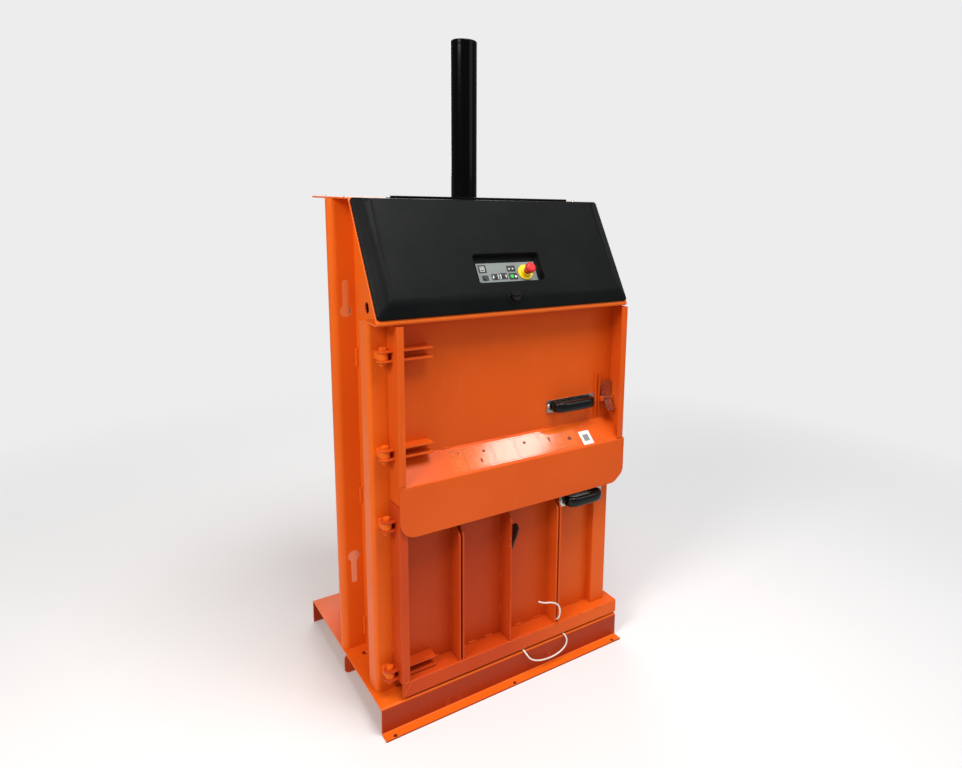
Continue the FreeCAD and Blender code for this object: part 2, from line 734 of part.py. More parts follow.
def ears(prefix, heights):
    """Two flat strips at each hinge: a rounded ear outside the door, a gusset inside."""
    made = []
    for n, height in enumerate(heights):
        for way in (-1, 1):
            low = "%s + %d * (lug_half + slip + ear_thick / 2) - ear_thick / 2" % (height, way)
            name = "%s%d%s" % (prefix, n, "a" if way < 0 else "b")
            blade = box(name + "_blade", "-hinge_x", "-ear_inner_x",
                        "-hinge_y - ear_rad", "-panel_face", low, "%s + ear_thick" % low)
            heel = box(name + "_heel", "-hinge_x - ear_rad - 1", "-door_left",
                       "-hinge_y + ear_rad", "-panel_face + 1", "%s - 1" % low,
                       "%s + ear_thick + 1" % low)
            nose = rod(name + "_nose", "z", ("-hinge_x", "-hinge_y", low), "ear_rad",
                       "ear_thick")
            bore = rod(name + "_bore", "z", ("-hinge_x", "-hinge_y", "%s - 1" % low),
                       "pin_rad + pin_fit", "ear_thick + 2")
            strip = cut(name + "_strip", blade, [heel])
            made.append(cut(name, fuse(name + "_body", [strip, nose]), [bore]))
    return made


def ear_slots(prefix, heights):
    made = []
    for n, height in enumerate(heights):
        for way in (-1, 1):
            low = "%s + %d * (lug_half + slip + ear_thick / 2) - ear_thick / 2" % (height, way)
            name = "%s%d%s" % (prefix, n, "a" if way < 0 else "b")
            made.append((name, low))
    return made


group("upper_hinge_ears", ears("up_ear", HINGES[:2]))
group("lower_hinge_ears", ears("lo_ear", HINGES[2:]))

# ================================================================ hood
body = new_body("hood_plate")
slope = "atan((hood_low_y - hood_edge) / (frame_top - hood_low_z))"
span = "sheet / cos(%s)" % slope
lip_y = "-hood_low_y - hood_lip * sin(%s)" % slope
lip_z = "hood_low_z - hood_lip * cos(%s)" % slope
profile = [
    ("hood_rear", "frame_top"),
    ("-hood_edge", "frame_top"),
    (lip_y, lip_z),
    ("-hood_low_y + hood_return + hood_wing", lip_z),
    ("-hood_low_y + hood_return + hood_wing", "%s + sheet" % lip_z),
    ("%s + sheet * tan(%s) + %s" % (lip_y, slope, span), "%s + sheet" % lip_z),
    ("-hood_edge - sheet * tan(%s) + %s" % (slope, span), "frame_top - sheet"),
    ("hood_rear", "frame_top - sheet"),
]
first = pad(body, "hood_fold", "YZ_Plane", None, profile, "2 * hood_half", middle=True)
bends(body, "hood_bends", "YZ_Plane", first.Profile[0], [1, 2], "hood_bend")
bends(body, "hood_inner", "YZ_Plane", first.Profile[0], [5, 6], "hood_bend - sheet")
between = [
    ("-wall_half - slip", "-hood_low_y + hood_return"),
    ("wall_half + slip", "-hood_low_y + hood_return"),
    ("wall_half + slip", "-hood_low_y + hood_return + hood_wing + 1"),
    ("-wall_half - slip", "-hood_low_y + hood_return + hood_wing + 1"),
]
pocket(body, "return_notch", "XY_Plane", "%s + sheet + 1" % lip_z, "sheet + 2",
       points=between)
pocket(body, "barrel_hole", "XY_Plane", "frame_top + 1", "sheet + 2",
       circles=[("0", "0", "barrel_rad + 0.5")])
opening = [
    ("-window_half", "hood_low_z + window_low * cos(%s)" % slope),
    ("window_half", "hood_low_z + window_low * cos(%s)" % slope),
    ("window_half", "hood_low_z + window_high * cos(%s)" % slope),
    ("-window_half", "hood_low_z + window_high * cos(%s)" % slope),
]
pocket(body, "access_window", "XZ_Plane", "hood_edge - 40", "hood_low_y", points=opening,
       back=True)
node("hood_plate", body)

# stiffening gussets between the columns and the hood's top
parts = []
for side, sign in (("left", -1), ("right", 1)):
    body = new_body("gusset_" + side)
    profile = [
        ("sheet", "frame_top - sheet - 120"),
        ("sheet + 20", "frame_top - sheet - 120"),
        ("hood_rear - 15", "frame_top - sheet - 20"),
        ("hood_rear - 15", "frame_top - sheet"),
        ("sheet", "frame_top - sheet"),
    ]
    start = "wall_half + 15" if sign > 0 else "-wall_half - 20"
    pad(body, "gusset_sheet_" + side, "YZ_Plane", start, profile, "sheet")
    parts.append(body)
group("hood_gussets", parts)

# ================================================================ cylinder
wall = rod("barrel_outer", "z", ("0", "0", "barrel_low"), "barrel_rad",
           "barrel_top - cap_high - barrel_low")
bore = rod("barrel_inner", "z", ("0", "0", "barrel_low - 1"), "barrel_bore",
           "barrel_top - barrel_low + 2")
node("cylinder_barrel", cut("cylinder_barrel", wall, [bore]))

disc = rod("cap_disc", "z", ("0", "0", "barrel_top - cap_high"), "barrel_rad",
           "cap_high")
cap = doc.addObject("Part::Chamfer", "cap_edge")
cap.Base = disc
doc.recompute()
top_edges = []
for number, edge in enumerate(disc.Shape.Edges, start=1):
    if edge.Curve.TypeId == "Part::GeomCircle" and edge.CenterOfMass.z > size("barrel_top") - 1:
        top_edges.append((number, 3.0, 3.0))
cap.Edges = top_edges
node("cylinder_cap", cap)

plate = box("flange_plate", "-flange_half", "flange_half", "-flange_half", "flange_half",
            "frame_top - sheet - flange_thick", "frame_top - sheet")
bore = rod("flange_bore", "z", ("0", "0", "frame_top - sheet - flange_thick - 1"),
           "barrel_rad + 0.1", "flange_thick + 2")
flange = cut("flange_bored", plate, [bore])

bolts = []
for n, (sx, sy) in enumerate(((-1, -1), (1, -1), (1, 1), (-1, 1))):
    at = ("%d * (flange_half - 12)" % sx, "%d * (flange_half - 12)" % sy)
    head = doc.addObject("Part::Prism", "flange_bolt_head%d" % n)
    head.Polygon = 6
    bind(head, "Circumradius", "9")
    bind(head, "Height", "8")
    place(head, (at[0], at[1], "frame_top - sheet - flange_thick - 8"))
    bolts.append(head)
node("cylinder_flange", fuse("cylinder_flange", [flange] + bolts))

outer = rod("gland_outer", "z", ("0", "0", "gland_low"), "barrel_rad",
            "barrel_low - gland_low")
bore = rod("gland_bore", "z", ("0", "0", "gland_low - 1"), "rod_rad + rod_fit",
           "barrel_low - gland_low + 2")
node("cylinder_gland", cut("cylinder_gland", outer, [bore]))

# ports on the barrel's rear and the pipe between them and the valve block
parts = []
for n, height in enumerate(("barrel_top - 40", "frame_top + 26")):
    parts.append(box("port_block%d" % n, "-11", "11", "barrel_rad - 1", "barrel_rad + 24",
                     "%s - 12" % height, "%s + 12" % height))
shell = rod("port_shell", "z", ("0", "0", "gland_low"), "barrel_rad", "barrel_top - gland_low")
trimmed = []
for n, block in enumerate(parts):
    if n == 0:
        tool = shell
    else:
        tool = rod("port_shell%d" % n, "z", ("0", "0", "gland_low"), "barrel_rad",
                   "barrel_top - gland_low")
    trimmed.append(cut("port%d" % n, block, [tool]))
pipe = rod("pipe_run", "z", ("0", "barrel_rad + 13", "frame_top + 38"), "6",
           "barrel_top - 52 - frame_top - 38")
group("cylinder_pipework", trimmed + [pipe])

# ================================================================ power pack
base = box("pack_sheet", "-wall_half + sheet", "wall_half - sheet", "-post_face + sheet + 26",
           "wall_rear", "shelf_z", "shelf_z + sheet")
hole = rod("pack_hole", "z", ("0", "0", "shelf_z - 1"), "barrel_rad + 6", "sheet + 2")
node("pack_shelf", cut("pack_shelf", base, [hole]))

tank = box("tank_box", "-wall_half + 25", "-75", "-60", "wall_rear - 50", "shelf_z + sheet",
           "frame_top - 42")
tank_round = doc.addObject("Part::Fillet", "tank_round")
tank_round.Base = tank
doc.recompute()
upright = []
for number, edge in enumerate(tank.Shape.Edges, start=1):
    a, b = edge.Vertexes[0].Point, edge.Vertexes[-1].Point
    if abs(a.z - b.z) > 10:
        upright.append((number, 14.0, 14.0))
tank_round.Edges = upright
node("oil_tank", fuse("oil_tank", [
    tank_round,
    rod("tank_neck", "z", ("-wall_half + 70", "160", "frame_top - 43"), "20", "9"),
    rod("filler_knob", "z", ("-wall_half + 70", "160", "frame_top - 36"), "26", "16"),
]))

motor = rod("motor_can", "x", ("90", "110", "shelf_z + 103"), "68", "150")
foot = box("motor_foot", "105", "225", "60", "160", "shelf_z + sheet", "shelf_z + 58")
box_t = box("motor_box", "120", "190", "85", "135", "shelf_z + 163", "shelf_z + 200")
fan = rod("motor_fan", "x", ("240", "110", "shelf_z + 103"), "70", "62")
node("pump_motor", fuse("pump_motor", [motor, foot, box_t, fan]))

block = box("valve_body", "100", "190", "-80", "10", "shelf_z + sheet", "shelf_z + 78")
coil_a = rod("valve_coil_a", "z", ("125", "-35", "shelf_z + 78"), "17", "52")
coil_b = rod("valve_coil_b", "z", ("166", "-35", "shelf_z + 78"), "17", "52")
node("valve_block", fuse("valve_block", [block, coil_a, coil_b]))

case = box("control_case", "-wall_half + 30", "-170", "-150", "-85", "shelf_z + sheet",
           "shelf_z + 128")
group("control_box", [case])

# ================================================================ press plate and rod
body = new_body("press_plate")
edge_x = "wall_half - sheet - platen_side"
flat = [
    ("-(%s)" % edge_x, "-platen_front"), (edge_x, "-platen_front"),
    (edge_x, "platen_back"), ("-(%s)" % edge_x, "platen_back"),
]
first = pad(body, "platen_sheet", "XY_Plane", "platen_z", flat, "platen_thick")
bends(body, "platen_corners", "XY_Plane", first.Profile[0], [0, 1, 2, 3], "12")
node("press_plate", body)

parts = []
for n, spot in enumerate(("-110", "-26", "26 - sheet", "110 - sheet")):
    parts.append(box("platen_rib%d" % n, "-(%s) + 20" % edge_x, "%s - 20" % edge_x, spot,
                     "%s + sheet" % spot, "platen_z + platen_thick",
                     "platen_z + platen_thick + platen_rib"))
for n, (x0, x1) in enumerate((
    ("-(%s) + 20" % edge_x, "-slot_left - 12"),
    ("-slot_left + 12", "slot_right - 12"),
    ("slot_right + 12", "%s - 20" % edge_x),
)):
    parts.append(box("platen_bar%d" % n, x0, x1, "-platen_front + 20", "platen_back - 20",
                     "platen_z - 16", "platen_z"))
group("press_ribs", parts)

foot = rod("rod_foot", "z", ("0", "0", "platen_z + platen_thick"), "26 - sheet - 0.5",
           "platen_rib + 8")
shaft = rod("rod_shaft", "z", ("0", "0", "platen_z + platen_thick + platen_rib + 7"),
            "rod_rad", "barrel_top - cap_high - 40 - platen_z - platen_thick - platen_rib")
piston = rod("rod_piston", "z", ("0", "0", "barrel_top - cap_high - 46"),
             "barrel_bore - rod_fit", "34")
node("press_rod", fuse("press_rod", [foot, shaft, piston]))

parts = []
for n, (sx, sy) in enumerate(((-1, -1), (1, -1), (1, 1), (-1, 1))):
    x0 = "%d * (%s - 10) - 10" % (sx, edge_x)
    x0 = "%s + %d * 6" % (x0, sx)
    parts.append(box("guide%d" % n, x0, "%s + 20" % x0,
                     "%d * 180 - 30" % sy, "%d * 180 + 30" % sy,
                     "platen_z + platen_thick", "platen_z + platen_thick + 24"))
group("press_guides", parts)

# ================================================================ upper door
body = new_body("upper_door_shell")
back = "-panel_face + sheet"
profile = [
    ("-door_left", back),
    ("-door_left", "-up_front"),
    ("-door_left + up_lip_left", "-up_front"),
    ("-door_left + up_lip_left", "-up_front + sheet"),
    ("-door_left + sheet", "-up_front + sheet"),
    ("-door_left + sheet", "-panel_face"),
    ("door_right - sheet", "-panel_face"),
    ("door_right - sheet", "-up_front + sheet"),
    ("door_right - up_lip_right", "-up_front + sheet"),
    ("door_right - up_lip_right", "-up_front"),
    ("door_right", "-up_front"),
    ("door_right", back),
]
first = pad(body, "upper_fold", "XY_Plane", "up_low", profile, "up_high - up_low")
bends(body, "upper_bends", "XY_Plane", first.Profile[0], [0, 1, 10, 11], "door_bend")
# the lips stop at the apron
strip = [
    ("-up_front - 1", "up_low - 1"), ("-up_front + sheet", "up_low - 1"),
    ("-up_front + sheet", "shelf_front_z + sheet"), ("-up_front - 1", "shelf_front_z + sheet"),
]
pocket(body, "lip_notch", "YZ_Plane", "door_right + 10", "door_right + door_left + 20",
       points=strip)
for name, low in ear_slots("up_slot", HINGES[:2]):
    gap = [
        ("-hinge_y - ear_rad - 0.1", "%s - 0.1" % low),
        ("-panel_face", "%s - 0.1" % low),
        ("-panel_face", "%s + ear_thick + 0.1" % low),
        ("-hinge_y - ear_rad - 0.1", "%s + ear_thick + 0.1" % low),
    ]
    pocket(body, name, "YZ_Plane", "-door_left + sheet + 0.5", "sheet + 1", points=gap)
gap = [
    ("latch_x_up - hook_half - 3", "latch_z_up - 10"),
    ("latch_x_up + hook_half + 3", "latch_z_up - 10"),
    ("latch_x_up + hook_half + 3", "latch_z_up + 14"),
    ("latch_x_up - hook_half - 3", "latch_z_up + 14"),
]
pocket(body, "upper_hook_slot", "XZ_Plane", "panel_face - sheet - 1", "sheet + 2",
       points=gap, back=True)
for n, spot in enumerate(("latch_x_up - 45", "latch_x_up - 30")):
    pad(body, "latch_guide%d" % n, "YZ_Plane", spot, [
        ("-panel_face - guide_deep", "latch_z_up - 52"), ("-panel_face", "latch_z_up - 52"),
        ("-panel_face", "latch_z_up + 90"), ("-panel_face - guide_deep", "latch_z_up + 90"),
    ], "3")
node("upper_door_shell", body)

body = new_body("shelf_apron")
drop = "(shelf_rear_z - shelf_front_z) / (up_front - panel_face)"
profile = [
    ("-panel_face", "shelf_rear_z"),
    ("-up_front", "shelf_front_z"),
    ("-up_front", "apron_low"),
    ("-up_front + sheet", "apron_low"),
    ("-up_front + sheet", "shelf_front_z - sheet * 0.6"),
    ("-panel_face", "shelf_rear_z - sheet * 1.35"),
]
# the shelf fits between the door's sides, the apron runs across their front
first = pad(body, "apron_fold", "YZ_Plane", "-door_left", profile, "door_left + apron_right")
bends(body, "apron_bend", "YZ_Plane", first.Profile[0], [1], "7")
trim = [
    ("-up_front + sheet", "apron_low - 1"), ("-panel_face + 1", "apron_low - 1"),
    ("-panel_face + 1", "shelf_rear_z + 1"), ("-up_front + sheet", "shelf_rear_z + 1"),
]
pocket(body, "shelf_end_left", "YZ_Plane", "-door_left + sheet + 0.2", "sheet + 1",
       points=trim)
pocket(body, "shelf_end_right", "YZ_Plane", "apron_right + 1",
       "apron_right + 1 - door_right + sheet + 0.2", points=trim)
low = [
    ("-up_front - 1", "shelf_front_z"), ("-up_front + sheet + 0.2", "shelf_front_z"),
    ("-up_front + sheet + 0.2", "shelf_rear_z"), ("-up_front - 1", "shelf_rear_z"),
]
corner_l = [
    ("-door_left - 1", "apron_low - 1"),
    ("-door_left + apron_round", "apron_low - 1"),
    ("-door_left + apron_round", "apron_low"),
    ("-door_left + apron_round * 0.62", "apron_low + apron_round * 0.076"),
    ("-door_left + apron_round * 0.293", "apron_low + apron_round * 0.293"),
    ("-door_left + apron_round * 0.076", "apron_low + apron_round * 0.62"),
    ("-door_left", "apron_low + apron_round"),
    ("-door_left - 1", "apron_low + apron_round"),
]
pocket(body, "apron_corner_left", "XZ_Plane", "up_front - sheet - 1", "sheet + 3",
       points=corner_l, back=True)
corner_r = [
    ("apron_right + 1", "apron_low - 1"),
    ("apron_right + 1", "apron_low + apron_round"),
    ("apron_right", "apron_low + apron_round"),
    ("apron_right - apron_round * 0.12", "apron_low + apron_round * 0.62"),
    ("apron_right - apron_round * 0.7", "apron_low + apron_round * 0.1"),
    ("apron_right - apron_round", "apron_low"),
    ("apron_right - apron_round", "apron_low - 1"),
]
pocket(body, "apron_corner_right", "XZ_Plane", "up_front - sheet - 1", "sheet + 3",
       points=corner_r, back=True)
node("shelf_apron", body)

# ================================================================ lower door
def rib_outline(front_low="rib_front"):
    return [
        ("-panel_face", "channel_top"),
        ("-%s" % front_low, "channel_top"),
        ("-%s" % front_low, "rib_cut_low"),
        ("-rib_back", "rib_cut_high"),
        ("-rib_back", "rail_low"),
        ("-panel_face", "rail_low"),
    ]


tall = "lo_high - channel_top"
body = new_body("lower_panel_left")
profile = [
    ("-door_left", back),
    ("-door_left", "-lo_front"),
    ("-door_left + lo_lip", "-lo_front"),
    ("-door_left + lo_lip", "-lo_front + sheet"),
    ("-door_left + sheet", "-lo_front + sheet"),
    ("-door_left + sheet", "-panel_face"),
    ("-slot_left - slot_wide / 2", "-panel_face"),
    ("-slot_left - slot_wide / 2", back),
]
first = pad(body, "left_fold", "XY_Plane", "channel_top", profile, tall)
bends(body, "left_bends", "XY_Plane", first.Profile[0], [0, 1], "door_bend")
for name, low in ear_slots("lo_slot", HINGES[2:]):
    gap = [
        ("-hinge_y - ear_rad - 0.1", "%s - 0.1" % low),
        ("-panel_face", "%s - 0.1" % low),
        ("-panel_face", "%s + ear_thick + 0.1" % low),
        ("-hinge_y - ear_rad - 0.1", "%s + ear_thick + 0.1" % low),
    ]
    pocket(body, name, "YZ_Plane", "-door_left + sheet + 0.5", "sheet + 1", points=gap)
pad(body, "left_rib", "YZ_Plane", "-slot_left - slot_wide / 2 - sheet", rib_outline(), "sheet")
node("lower_panel_left", body)

body = new_body("lower_panel_middle")
profile = [
    ("-slot_left + slot_wide / 2", "-panel_face"),
    ("slot_right - slot_wide / 2", "-panel_face"),
    ("slot_right - slot_wide / 2", back),
    ("-slot_left + slot_wide / 2", back),
]
pad(body, "middle_sheet", "XY_Plane", "channel_top", profile, tall)
pad(body, "middle_rib_left", "YZ_Plane", "-slot_left + slot_wide / 2", rib_outline(), "sheet")
pad(body, "middle_rib_right", "YZ_Plane", "slot_right - slot_wide / 2 - sheet",
    rib_outline(), "sheet")
node("lower_panel_middle", body)

body = new_body("lower_panel_right")
profile = [
    ("slot_right + slot_wide / 2", back),
    ("slot_right + slot_wide / 2", "-panel_face"),
    ("stile_left", "-panel_face"),
    ("stile_left", "-stile_face"),
    ("stile_right", "-stile_face"),
    ("stile_right", back),
    ("stile_right - sheet", back),
    ("stile_right - sheet", "-stile_face + sheet"),
    ("stile_left + sheet", "-stile_face + sheet"),
    ("stile_left + sheet", back),
]
first = pad(body, "right_fold", "XY_Plane", "channel_top", profile, tall)
bends(body, "right_bends", "XY_Plane", first.Profile[0], [3, 4], "door_bend")
pad(body, "right_rib", "YZ_Plane", "slot_right + slot_wide / 2", rib_outline(), "sheet")
gap = [
    ("latch_x_lo - hook_half - 3", "latch_z_lo - 10"),
    ("latch_x_lo + hook_half + 3", "latch_z_lo - 10"),
    ("latch_x_lo + hook_half + 3", "latch_z_lo + 16"),
    ("latch_x_lo - hook_half - 3", "latch_z_lo + 16"),
]
pocket(body, "lower_hook_slot", "XZ_Plane", "stile_face - sheet - 1", "sheet + 2",
       points=gap, back=True)
low_z = "handle_z_lo - 14"
high_z = "handle_z_lo + 14"
pad(body, "handle_stand_left", "YZ_Plane", "handle_left_lo + 2", [
    ("-stile_face - handle_off", low_z), ("-panel_face", low_z),
    ("-panel_face", high_z), ("-stile_face - handle_off", high_z),
], "20")
pad(body, "handle_stand_right", "YZ_Plane", "handle_right_lo - 20", [
    ("-stile_face - handle_off", low_z), ("-stile_face", low_z),
    ("-stile_face", high_z), ("-stile_face - handle_off", high_z),
], "18")
node("lower_panel_right", body)

body = new_body("lower_rib")
pad(body, "rib_sheet", "YZ_Plane", "-5", rib_outline(), "sheet")
node("lower_rib", body)

body = new_body("lower_channel")
profile = [
    (back, "lo_low"),
    (back, "channel_top"),
    ("-lo_front", "channel_top"),
    ("-lo_front", "lo_low"),
    ("-lo_front + sheet", "lo_low"),
    ("-lo_front + sheet", "channel_top - sheet"),
    ("-panel_face", "channel_top - sheet"),
    ("-panel_face", "lo_low"),
]
first = pad(body, "channel_fold", "YZ_Plane", "-door_left", profile,
            "door_left + frame_half")
bends(body, "channel_bends", "YZ_Plane", first.Profile[0], [2], "door_bend")
node("lower_channel", body)

body = new_body("lower_top_rail")
profile = [
    ("-panel_face", "lo_high"),
    ("-rib_back", "lo_high"),
    ("-rib_back", "rail_low"),
    ("-rib_back + sheet", "rail_low"),
    ("-rib_back + sheet", "lo_high - sheet"),
    ("-panel_face", "lo_high - sheet"),
]
first = pad(body, "rail_fold", "YZ_Plane", "-door_left + sheet", profile,
            "door_left - sheet + stile_left")
bends(body, "rail_bend", "YZ_Plane", first.Profile[0], [1], "door_bend")
node("lower_top_rail", body)

# a leaf-shaped strap cleat on the middle rib
body = new_body("strap_cleat")
leaf = [
    ("-rib_front + 2", "lo_low + 360"), ("-rib_front - 4", "lo_low + 378"),
    ("-rib_front - 22", "lo_low + 413"),
    ("-rib_front - 29", "lo_low + 436"), ("-rib_front - 26", "lo_low + 448"),
    ("-rib_front - 12", "lo_low + 451"),
    ("-rib_front + 4", "lo_low + 440"), ("-rib_front + 8", "lo_low + 413"),
    ("-rib_front + 10", "lo_low + 378"),
    ("-rib_front + 9", "lo_low + 363"),
]
first = pad(body, "cleat_sheet", "YZ_Plane", "0", leaf, "6")
bends(body, "cleat_round", "YZ_Plane", first.Profile[0], [0, 3, 4, 5, 9], "2")
node("strap_cleat", body)

# ================================================================ handles
def handle(name, left, right, face, height, grip_long):
    """A steel plate, two domed screws and a D-shaped grip, standing on the plane -face."""
    plate = box(name + "_plate_box", left, right, "-(%s) - plate_thick" % face,
                "-(%s)" % face, "%s - plate_high / 2" % height,
                "%s + plate_high / 2" % height)
    grip = new_body(name + "_grip")
    g0 = "%s + grip_inset" % left
    g1 = "%s + grip_inset + %s" % (left, grip_long)
    near = "-(%s) - plate_thick" % face
    far = "%s - grip_reach" % near
    inner = "%s + grip_bar" % far
    shape = [
        (g0, near), ("%s + 5" % g0, far), ("%s - 5" % g1, far), (g1, near),
        ("%s - grip_foot + 6" % g1, near), ("%s - grip_foot" % g1, inner),
        ("%s + grip_foot" % g0, inner), ("%s + grip_foot - 6" % g0, near),
    ]
    made = pad(grip, name + "_grip_block", "XY_Plane", "%s - grip_tall / 2" % height,
               shape, "grip_tall")
    bends(grip, name + "_grip_outer", "XY_Plane", made.Profile[0], [1, 2], "14")
    bends(grip, name + "_grip_inner", "XY_Plane", made.Profile[0], [5, 6], "6")
    node(name + "_grip", grip)
    screws = []
    for n, spot in enumerate(("%s + 7.5" % left, "%s - 7.5" % right)):
        dome = doc.addObject("Part::Sphere", "%s_dome%d" % (name, n))
        bind(dome, "Radius", "7")
        place(dome, (spot, "%s + 3" % near, "%s + 2" % height))
        keep = box("%s_dome_keep%d" % (name, n), "%s - 8" % spot, "%s + 8" % spot,
                   "%s - 9" % near, near, "%s - 10" % height, "%s + 14" % height)
        both = doc.addObject("Part::MultiCommon", "%s_dome_cap%d" % (name, n))
        both.Shapes = [dome, keep]
        screws.append(both)
    node(name + "_handle_plate", fuse(name + "_handle_plate", [plate] + screws))


handle("upper", "handle_left_up", "handle_right_up", "panel_face", "handle_z_up",
       "grip_long_up")
handle("lower", "handle_left_lo", "handle_right_lo", "stile_face + handle_off", "handle_z_lo",
       "grip_long_lo")


# ================================================================ latches
def latch(name, centre, height, face, deep, reach):
    """A rocking lever on a cross pin, with a hook that passes through the sheet."""
    pivot = "-(%s) - latch_off" % face
    lug_parts = []
    for n, (x0, x1) in enumerate((
        ("%s - latch_half - slip - 4" % centre, "%s - latch_half - slip" % centre),
        ("%s + latch_half + slip" % centre, "%s + latch_half + slip + 4" % centre),
    )):
        block = box("%s_latch_lug_box%d" % (name, n), x0, x1, "%s - 8" % pivot,
                    "-(%s)" % face, "%s - 8" % height, "%s + 8" % height)
        hole = rod("%s_latch_lug_hole%d" % (name, n), "x",
                   ("%s - 1" % x0, pivot, height), "latch_pin", "6")
        lug_parts.append(cut("%s_latch_lug%d" % (name, n), block, [hole]))
    lug_parts.append(rod(name + "_latch_rod", "x",
                         ("%s - latch_half - slip - 4" % centre, pivot, height),
                         "latch_pin", "2 * (latch_half + slip + 4)"))
    node(name + "_latch_mount", fuse(name + "_latch_mount", lug_parts))
    lever = new_body(name + "_latch_lever")
    pad(lever, name + "_knuckle", "YZ_Plane", "%s - latch_half" % centre, None,
        "2 * latch_half", circles=[(pivot, height, "7")])
    tab = [
        ("%s - 1" % pivot, "%s + 2" % height),
        ("%s + 2" % pivot, "%s + 2" % height),
        ("%s + 5" % pivot, "%s + 16" % height),
        ("%s + 5" % pivot, "%s + 56" % height),
        ("%s + 2" % pivot, "%s + 56" % height),
        ("%s + 2" % pivot, "%s + 16" % height),
    ]
    pad(lever, name + "_tab", "YZ_Plane", "%s - latch_half" % centre, tab,
        "2 * latch_half")
    thumb = [
        ("%s - 3" % pivot, "%s - 1" % height),
        ("%s - %s" % (pivot, reach), "%s - 36" % height),
        ("%s - %s + 3" % (pivot, reach), "%s - 38" % height),
        ("%s" % pivot, "%s - 4" % height),
    ]
    pad(lever, name + "_thumb", "YZ_Plane", "%s - latch_half + 8" % centre, thumb,
        "2 * latch_half - 10")
    # the hook is a deep bar through the knuckle with an upturned tip
    hook = [
        ("%s + 2" % pivot, "%s - 6" % height),
        ("%s + %s + 7" % (pivot, deep), "%s - 6" % height),
        ("%s + %s + 7" % (pivot, deep), "%s + hook_tip" % height),
        ("%s + %s" % (pivot, deep), "%s + hook_tip" % height),
        ("%s + %s" % (pivot, deep), "%s" % height),
        ("%s + 2" % pivot, "%s" % height),
    ]
    pad(lever, name + "_hook", "YZ_Plane", "%s - hook_half" % centre, hook,
        "2 * hook_half")
    pocket(lever, name + "_latch_bore", "YZ_Plane", "%s + latch_half + 1" % centre,
           "2 * latch_half + 2", circles=[(pivot, height, "latch_pin + pin_fit")])
    corners = [
        ("%s - latch_half - 1" % centre, "%s + 42" % height),
        ("%s - latch_half" % centre, "%s + 42" % height),
        ("%s - latch_half + 14" % centre, "%s + 56" % height),
        ("%s - latch_half + 14" % centre, "%s + 57" % height),
        ("%s - latch_half - 1" % centre, "%s + 57" % height),
    ]
    pocket(lever, name + "_tab_corner", "XZ_Plane", "(%s) + latch_off - 12" % face, "12",
           points=corners, back=True)
    node(name + "_latch_lever", lever)


latch("upper", "latch_x_up", "latch_z_up", "panel_face", "hook_deep_up", "26")
latch("lower", "latch_x_lo", "latch_z_lo", "stile_face", "hook_deep_lo", "15")

# ================================================================ service cover
def on_slope(obj):
    """Lay a part drawn flat on the hood's slope: its Y runs up the slope."""
    obj.Placement = Placement(Vector(), Rotation(Vector(1, 0, 0), 60))
    bind(obj, "Placement.Rotation.Angle", "90 deg - (%s)" % slope)
    place(obj, ("0", "-hood_low_y + mid_y", "hood_low_z"))
    return obj


def slope_node(label, obj):
    on_slope(obj)
    return node(label, obj, spot=True)


def slope_group(label, shapes):
    obj = doc.addObject("Part::Compound", label)
    obj.Links = shapes
    return slope_node(label, obj)


def frustum(body, name, cutting, low, high, inset, drop=0):
    """A bevelled block between two rectangles, drawn flat."""
    wide = "cover_half - %s" % inset
    near = "cover_low + %s" % inset
    far = "cover_high - %s" % inset
    base = [
        ("-(%s)" % wide, near), (wide, near), (wide, far), ("-(%s)" % wide, far),
    ]
    wide_b = "cover_half - cover_side_bevel - %s" % inset
    near_b = "cover_low + cover_low_bevel + %s" % inset
    far_b = "cover_high - cover_top_bevel - %s" % inset
    face = [
        ("-(%s)" % wide_b, near_b), (wide_b, near_b), (wide_b, far_b),
        ("-(%s)" % wide_b, far_b),
    ]
    sk_a = flat_sketch(body, name + "_low_sketch", "XY_Plane", low)
    outline(sk_a, base)
    sk_b = flat_sketch(body, name + "_high_sketch", "XY_Plane", high)
    outline(sk_b, face)
    kind = "PartDesign::SubtractiveLoft" if cutting else "PartDesign::AdditiveLoft"
    loft = body.newObject(kind, name)
    loft.Profile = sk_a
    loft.Sections = [sk_b]
    loft.Ruled = True
    sk_a.Visibility = False
    sk_b.Visibility = False
    doc.recompute()
    return base


body = new_body("service_cover")
skirt = [
    ("-cover_half", "cover_low"), ("cover_half", "cover_low"),
    ("cover_half", "cover_high"), ("-cover_half", "cover_high"),
]
pad(body, "cover_skirt_pad", "XY_Plane", "cover_gap", skirt, "cover_skirt")
frustum(body, "cover_bevel", False, "cover_gap + cover_skirt", "cover_deep", "0")
inside = [
    ("-cover_half + cover_wall", "cover_low + cover_wall"),
    ("cover_half - cover_wall", "cover_low + cover_wall"),
    ("cover_half - cover_wall", "cover_high - cover_wall"),
    ("-cover_half + cover_wall", "cover_high - cover_wall"),
]
pocket(body, "cover_hollow", "XY_Plane", "cover_gap + cover_skirt - 1",
       "cover_skirt + 1", points=inside)
frustum(body, "cover_hollow_bevel", True, "cover_gap + cover_skirt - 1.01",
        "cover_deep - cover_wall", "cover_wall")
